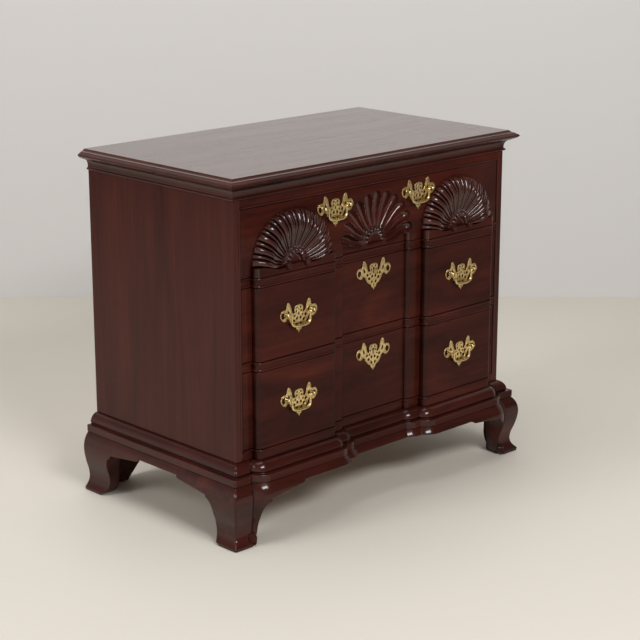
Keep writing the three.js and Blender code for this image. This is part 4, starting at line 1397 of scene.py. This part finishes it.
plateLook = {
    "span": 109.0,
    "height": 71.5,
    "thickness": 1.6,
    "edge": 0.45,
    # right half of the outline, from the bottom tip to the top of the dome, as shares
    "outline": [(0, 0), (0.035, 0.07), (0.11, 0.1), (0.16, 0.19), (0.28, 0.235), (0.39, 0.31), (0.47, 0.42),
                (0.56, 0.49), (0.63, 0.49), (0.7, 0.44), (0.8, 0.435), (0.93, 0.51), (1, 0.63),
                (0.95, 0.74), (0.84, 0.795), (0.73, 0.785), (0.665, 0.82), (0.65, 0.90), (0.62, 0.97),
                (0.56, 1), (0.50, 0.965), (0.445, 0.90), (0.405, 0.82), (0.385, 0.73), (0.325, 0.645),
                (0.25, 0.625), (0.20, 0.65), (0.235, 0.72), (0.235, 0.79), (0.155, 0.86), (0, 0.885)],
    "corners": (0, 3, 8, 16, 26),
    # piercings: centre across and up, half width, half height, tilt in turns
    "piercings": [
        (0.84, 0.61, 0.100, 0.100, 0.04), (0.55, 0.68, 0.045, 0.075, -0.05),
        (0.365, 0.53, 0.064, 0.046, 0.07), (0.27, 0.40, 0.072, 0.044, 0.06),
        (0.11, 0.28, 0.052, 0.052, -0.06), (0.095, 0.46, 0.052, 0.050, 0.08),
        (0.215, 0.55, 0.040, 0.032, 0.0), (0.130, 0.68, 0.040, 0.034, 0.12),
        (0.10, 0.785, 0.042, 0.030, -0.10), (0.44, 0.40, 0.034, 0.026, 0.1)],
    # the first two make way for a keyhole
    "middlePiercings": [(0.0, 0.60, 0.030, 0.038, 0.0), (0.0, 0.735, 0.022, 0.022, 0.0),
                        (0.0, 0.18, 0.030, 0.034, 0.0)],
    "beadInset": 1.5,
    "bead": 0.8,
    "beadFlatten": 0.8,
    "merge": 0.005,
    "sharpAngle": 40.0,
}
keyhole = {"level": 50.5, "radius": 3.1, "drop": 11.0, "sides": 14, "headFrom": -60, "headSweep": 300}
keyway = {"sideRoom": 0.8, "lowerRoom": 1.0, "depth": 0.28}
postLook = {
    "spacing": 76.0,
    "level": 45.7,
    "reach": 9.0,
    "ball": 4.8,
    "bore": 2.3,
    "borePast": 2.0,
    "boreSides": 16,
    # radius and distance from the wood of the turned collar, neck and ball
    "turning": [(0.0, 0.7), (5.0, 0.7), (5.2, 1.7), (4.9, 2.2), (3.7, 2.6), (3.2, 3.0), (2.5, 3.4),
                (2.3, 4.2), (2.9, 4.9), (3.9, 5.8), (4.55, 7.2), (4.8, 9.0), (4.55, 10.8), (3.9, 12.2),
                (2.7, 13.2), (1.2, 13.7), (0.0, 13.8)],
}
bailLook = {
    "radius": 1.85,
    "swell": 0.9,
    "sides": 14,
    "tip": 0.8,
    "pin": 3.0,
    "pinGap": 0.6,
    "drop": 28.0,
    "half": 27.0,
    "bend": 5.5,
    "turn": 0.75,
    "low": 0.9,
    "side": 0.55,
}
brassPlace = {"topAcross": 1.2, "topInset": 5.0, "escutcheonRise": 41.0}
pulls = {}
for level, opening in openings.items():
    across, front = blockCentre, -blocking["projection"]
    raisedTo = opening["floor"] + (opening["height"] - plateLook["height"]) / 2
    if level == "upper":
        across, front = blockCentre / 2 + brassPlace["topAcross"], 0.0
        raisedTo = openingsTop - drawer["clear"] - brassPlace["topInset"] - plateLook["height"]
    pulls[f"{level}_right"] = (across, front - chest["gap"], raisedTo)
    pulls[f"{level}_left"] = (-across, front - chest["gap"], raisedTo)


def ovalPoints(x, z, wide, high, turns, sides=14):
    tilt = 2 * math.pi * turns
    return [(x + wide * u * math.cos(tilt) - high * v * math.sin(tilt),
             z + wide * u * math.sin(tilt) + high * v * math.cos(tilt))
            for u, v in roundPoints(0.0, 0.0, 1.0, sides)]


def plateOutline(look=plateLook):
    half = [(u * look["span"] / 2, v * look["height"])
            for u, v in smoothRun(look["outline"], 5, look["corners"])]
    return [*half, *[(-x, z) for x, z in reversed(half[1:-1])]]


def plateHoles(withKey, look=plateLook):
    wide, high = look["span"] / 2, look["height"]
    single = look["middlePiercings"][2:] if withKey else look["middlePiercings"]
    holes = [ovalPoints(side * u * wide, v * high, a * wide, b * high, side * turns)
             for u, v, a, b, turns in look["piercings"] for side in (-1, 1)]
    holes += [ovalPoints(u * wide, v * high, a * wide, b * high, turns) for u, v, a, b, turns in single]
    if withKey:
        radius, level, foot = keyhole["radius"], keyhole["level"], keyhole["level"] - keyhole["drop"]
        angles = [math.radians(keyhole["headFrom"] + keyhole["headSweep"] * i / keyhole["sides"])
                  for i in range(keyhole["sides"] + 1)]
        head = [(radius * math.cos(angle), level + radius * math.sin(angle)) for angle in angles]
        holes.append([*head, (-radius / 2, foot), (radius / 2, foot)])
    return holes


def plateMesh(name, withKey, look=plateLook):
    # a flat curve with its piercings, given thickness and soft edges
    curve = bpy.data.curves.new(name, "CURVE")
    curve.dimensions = "2D"
    curve.fill_mode = "BOTH"
    curve.extrude = look["thickness"] / 2 - look["edge"]
    curve.bevel_depth = look["edge"]
    curve.bevel_resolution = 2
    curve.offset = -look["edge"]
    for loop in [plateOutline(), *plateHoles(withKey)]:
        spline = curve.splines.new("POLY")
        spline.points.add(len(loop) - 1)
        for point, (x, z) in zip(spline.points, loop):
            point.co = (x, z, 0.0, 1.0)
        spline.use_cyclic_u = True
    return cleanMesh(name, sculptOf(plainResult(newObject(name, curve))), look["merge"])


def borderTree():
    # a fine bead that follows a line of edges, as the chaser's border follows the plate
    tree, inputs, output = newTree("borderBead", {"radius": 0.5, "flatten": 0.7}, "brass")
    line = addNode(tree, "GeometryNodeMeshToCurve", None, Mesh=inputs["Geometry"])
    section = addNode(tree, "GeometryNodeCurvePrimitiveCircle", None, Resolution=6, Radius=inputs["radius"])
    tube = addNode(tree, "GeometryNodeCurveToMesh", None, Curve=line.outputs[0],
                   Profile_Curve=section.outputs[0])
    size = addNode(tree, "ShaderNodeCombineXYZ", None, X=1.0, Y=1.0, Z=inputs["flatten"])
    flat = addNode(tree, "GeometryNodeTransform", None, Geometry=tube.outputs[0], Scale=size.outputs[0])
    endTree(tree, [flat.outputs[0]], inputs, output)
    return tree


def insetLoop(loop, inset, clear=0.86):
    # moves each point of a closed line inwards, where the shape is wide enough
    area = sum(loop[i - 1][0] * loop[i][1] - loop[i][0] * loop[i - 1][1] for i in range(len(loop)))
    run = []
    for i, corner in enumerate(loop):
        along = (Vector(loop[(i + 2) % len(loop)]) - Vector(loop[i - 2])).normalized()
        point = Vector(corner) + Vector((-along.y, along.x)) * math.copysign(inset, area)
        if min((Vector(other) - point).length for other in loop) > inset * clear:
            run.append(point)
    return run


def borderMesh(look=plateLook):
    line = bpy.data.meshes.new("border_line")
    points = insetLoop(plateOutline(), look["beadInset"])
    edges = [(i, (i + 1) % len(points)) for i in range(len(points))]
    line.from_pydata([(p.x, p.y, look["thickness"] / 2) for p in points], edges, [])
    return grownMesh("border", borderTree(), {"radius": look["bead"], "flatten": look["beadFlatten"]}, line)


def turnedMesh(name, profile, sides=20):
    # a profile of radius and height turned round the Z axis
    sculpt = bmesh.new()
    rings = []
    for radius, height in profile:
        ring = roundPoints(0.0, 0.0, radius, sides if radius else 1)
        rings.append([sculpt.verts.new((x, y, height)) for x, y in ring])
    for low, high in zip(rings, rings[1:]):
        for i in range(sides):
            j = (i + 1) % sides
            corners = [low[i % len(low)], low[j % len(low)], high[j % len(high)], high[i % len(high)]]
            sculpt.faces.new([vert for k, vert in enumerate(corners) if vert not in corners[:k]])
    bmesh.ops.recalc_face_normals(sculpt, faces=sculpt.faces)
    return meshFrom(name, sculpt)


def postMesh(look=postLook):
    first, *middle, last = look["turning"]
    post = turnedMesh("post", [first, *smoothRun(middle, 3), last])
    past, radius = look["ball"] + look["borePast"], look["bore"]
    bore = turnedMesh("bore", [(0.0, -past), (radius, -past), (radius, past), (0.0, past)], look["boreSides"])
    across = Matrix.Rotation(math.radians(90.0), 4, "Y")
    bore.transform(Matrix.Translation((0.0, 0.0, look["reach"])) @ across)
    return carvedMesh("post", post, [bore])


def bailPath(look=bailLook, posts=postLook):
    # from the lowest point up to the end of the right pin, then both halves
    half, drop = look["half"], look["drop"]
    start, low, corner = (0.0, -drop), (half, -drop * look["side"]), (half, -look["bend"])
    inner = (posts["spacing"] / 2 - posts["ball"] - look["pinGap"], 0.0)
    path = [
        *curvePoints(start, (half * look["turn"], -drop), (half, -drop * look["low"]), low, 14),
        *curvePoints(low, low, corner, corner, 3),
        *roundedTurn(corner, (half, 0.0), inner, 8),
        (posts["spacing"] / 2 + posts["ball"] + look["pin"], 0.0),
    ]
    return [*[(-x, z) for x, z in reversed(path)], start, *path]


def bailMesh(look=bailLook):
    # pins through both balls, bent down into a loop that thickens towards the middle
    path, sides = bailPath(), look["sides"]
    sculpt = bmesh.new()
    rings = []
    for i, (x, z) in enumerate(path):
        along = (Vector(path[min(i + 1, len(path) - 1)]) - Vector(path[max(i - 1, 0)])).normalized()
        radius = look["radius"] * (1 + look["swell"] * (z / -look["drop"]) ** 1.5 if z < 0 else 1.0)
        rings.append([sculpt.verts.new((x - along.y * across, z + along.x * across, up))
                      for across, up in roundPoints(0.0, 0.0, radius, sides)])
    bridgeRings(sculpt, rings)
    for end, outward in ((rings[0], -look["tip"]), (rings[-1], look["tip"])):
        tip = sculpt.verts.new(sum((vert.co for vert in end), Vector()) / sides + Vector((outward, 0.0, 0.0)))
        for k in range(sides):
            sculpt.faces.new((end[k], end[k - 1], tip))
    bmesh.ops.recalc_face_normals(sculpt, faces=sculpt.faces)
    return meshFrom("bail", sculpt)


def brassPiece(node, mesh, place, look=plateLook):
    settle(pieceFrom(f"{node}_cast", movedCopy(mesh, facingFront(place)), "brass", look["sharpAngle"]), node)


def buildKeyway(level, face, z, look=keyway):
    # a near-black plate behind the keyhole, as painted shade in the lock's keyway
    reach = keyhole["radius"] + look["sideRoom"]
    low, high = z + keyhole["level"] - keyhole["drop"] - look["lowerRoom"], z + keyhole["level"] + reach
    outline = [(-reach, low), (reach, low), (reach, high), (-reach, high)]
    mesh = prismMesh("keyway", outline, face, face + look["depth"], "Y")
    addFitting(f"keyway_{level}", mesh, "keyway", f"drawer_{level}")


def buildBrasses(look=plateLook, posts=postLook):
    plate, border, post, back = plateMesh("plate", False), borderMesh(), postMesh(), look["thickness"] / 2
    pair = [movedCopy(post, Matrix.Translation((side * posts["spacing"] / 2, posts["level"], -back)))
            for side in (-1, 1)]
    pullPlate = joinMeshes("pull_plate", [plate, border, *pair])
    bail = bailMesh()
    for name, (x, y, z) in pulls.items():
        brassPiece(f"pull_plate_{name}", pullPlate, (x, y - back, z))
        brassPiece(f"bail_{name}", bail, (x, y - posts["reach"], z + posts["level"]))
    cover = joinMeshes("escutcheon", [plateMesh("escutcheon", True), border])
    for level in ("lower", "middle"):
        opening = openings[level]
        y = blocking["recessDepth"] - chest["gap"] - back
        z = opening["floor"] + (opening["height"] - look["height"]) / 2 + brassPlace["escutcheonRise"]
        brassPiece(f"escutcheon_{level}", cover, (0.0, y, z))
        buildKeyway(level, y + back, z)


# Nuts that hold the posts, inside each drawer front

nutLook = {"radius": 5.6, "thick": 2.4, "bolt": 2.0, "boltLength": 4.4}


def nutTree(look=nutLook):
    tree, inputs, output = newTree("postNuts", {"spacing": postLook["spacing"], **look}, "brass")
    both = [addNode(tree, "GeometryNodeMeshCylinder", None, Vertices=sides, Radius=inputs[radius],
                    Depth=inputs[length]).outputs[0]
            for sides, radius, length in ((6, "radius", "thick"), (12, "bolt", "boltLength"))]
    ends = []
    for share in (-0.5, 0.5):
        across = calc(tree, "MULTIPLY", inputs["spacing"], share)
        ends.append(addNode(tree, "ShaderNodeCombineXYZ", None, X=across).outputs[0])
    endTree(tree, [rowOf(tree, joinedShapes(tree, both), 2, *ends)], inputs, output)
    return tree


def buildNuts(look=nutLook):
    pair = grownMesh("nuts", nutTree())
    y = drawer["frontThickness"] + look["thick"] / 2
    for level in openings:
        spots = [pulls[f"{level}_{side}"] for side in ("right", "left")]
        meshes = [movedCopy(pair, facingFront((x, y, z + postLook["level"]))) for x, _, z in spots]
        addFitting(f"post_nuts_{level}", joinMeshes("nuts", meshes), "brass", f"drawer_{level}")


buildBrasses()
buildNuts()
print("brasses built")


# Floor, backdrop and lamps

stageLook = {
    "floor": (0.605, 0.563, 0.495),
    "floorRoughness": 0.6,
    "wall": (0.55, 0.535, 0.522),
    "wallRoughness": 0.8,
    "wallBehind": 1.62,
    "wallHeight": 5.0,
    "halfWidth": 6.0,
}
lampLook = {
    "key": {"place": (-0.8, -3.4, 2.9), "aim": (0.0, 0.0, 0.4), "size": (1.9, 0.9), "power": 130.0},
    "overhead": {"place": (-0.4, 0.2, 3.7), "aim": (0.0, 0.2, 0.4), "size": (2.4, 2.4), "power": 50.0},
    "left": {"place": (-3.4, 0.6, 2.2), "aim": (0.0, 0.0, 0.4), "size": (1.2, 1.2), "power": 55.0},
}
# light from each direction: by height, and less of it from the side that darkSide points to
worldLook = {
    "color": (1.0, 0.985, 0.97),
    "levels": [(-0.2, 0.60), (0.0, 0.80), (0.3, 0.60), (0.6, 0.24), (1.0, 0.20)],
    "darkSide": (0.74, -0.67, 0.0),
    "shares": [(-1.0, 1.0), (0.0, 1.0), (0.5, 0.36), (1.0, 0.12)],
}


def stagePanel(name, corners, material):
    mesh = bpy.data.meshes.new(name)
    mesh.from_pydata(corners, [], [tuple(range(len(corners)))])
    mesh.materials.append(material)
    newObject(name, mesh)


def setStage(look=stageLook):
    low, wide = Vector((0.0, 0.0, cadBox[0][2])), look["halfWidth"]
    forward = Vector((*cameraLook["direction"][:2], 0.0)).normalized()
    side = Vector((forward.y, -forward.x, 0.0)) * wide
    back = forward * look["wallBehind"] + low
    front = low - forward * wide
    up = Vector((0.0, 0.0, look["wallHeight"]))
    left, right = back - side, back + side
    for name, corners in (("floor", [left, right, front + side, front - side]),
                          ("wall", [right, left, left + up, right + up])):
        stagePanel(name, corners, plainMaterial(f"{name}_plain", look[name], look[f"{name}Roughness"]))


def setLamps(look=lampLook):
    for name, lamp in look.items():
        light = bpy.data.lights.new(name, "AREA")
        light.shape = "RECTANGLE"
        light.size, light.size_y = lamp["size"]
        light.energy = lamp["power"]
        holder = newObject(name, light)
        holder.location = lamp["place"]
        aim = Vector(lamp["aim"]) - Vector(lamp["place"])
        holder.rotation_euler = aim.to_track_quat("-Z", "Y").to_euler()


def setWorld(look=worldLook):
    world = bpy.data.worlds.new("studio")
    world.use_nodes = True
    tree = world.node_tree
    direction = addNode(tree, "ShaderNodeTexCoord").outputs["Generated"]
    runs = []
    for axis, stops, tint in (((0.0, 0.0, 1.0), look["levels"], look["color"]),
                              (look["darkSide"], look["shares"], (1.0, 1.0, 1.0))):
        along = addNode(tree, "ShaderNodeVectorMath", {"operation": "DOT_PRODUCT"}, i0=direction, i1=axis)
        share = mapped(tree, along.outputs["Value"], -1.0, 1.0)
        runs.append(ramp(tree, share, [((place + 1.0) / 2, tuple(light * part for part in tint))
                                       for place, light in stops]))
    tree.links.new(mixColor(tree, "MULTIPLY", 1.0, *runs), tree.nodes["Background"].inputs["Color"])
    bpy.context.scene.world = world


setStage()
setLamps()
setWorld()
print("stage and lamps set")
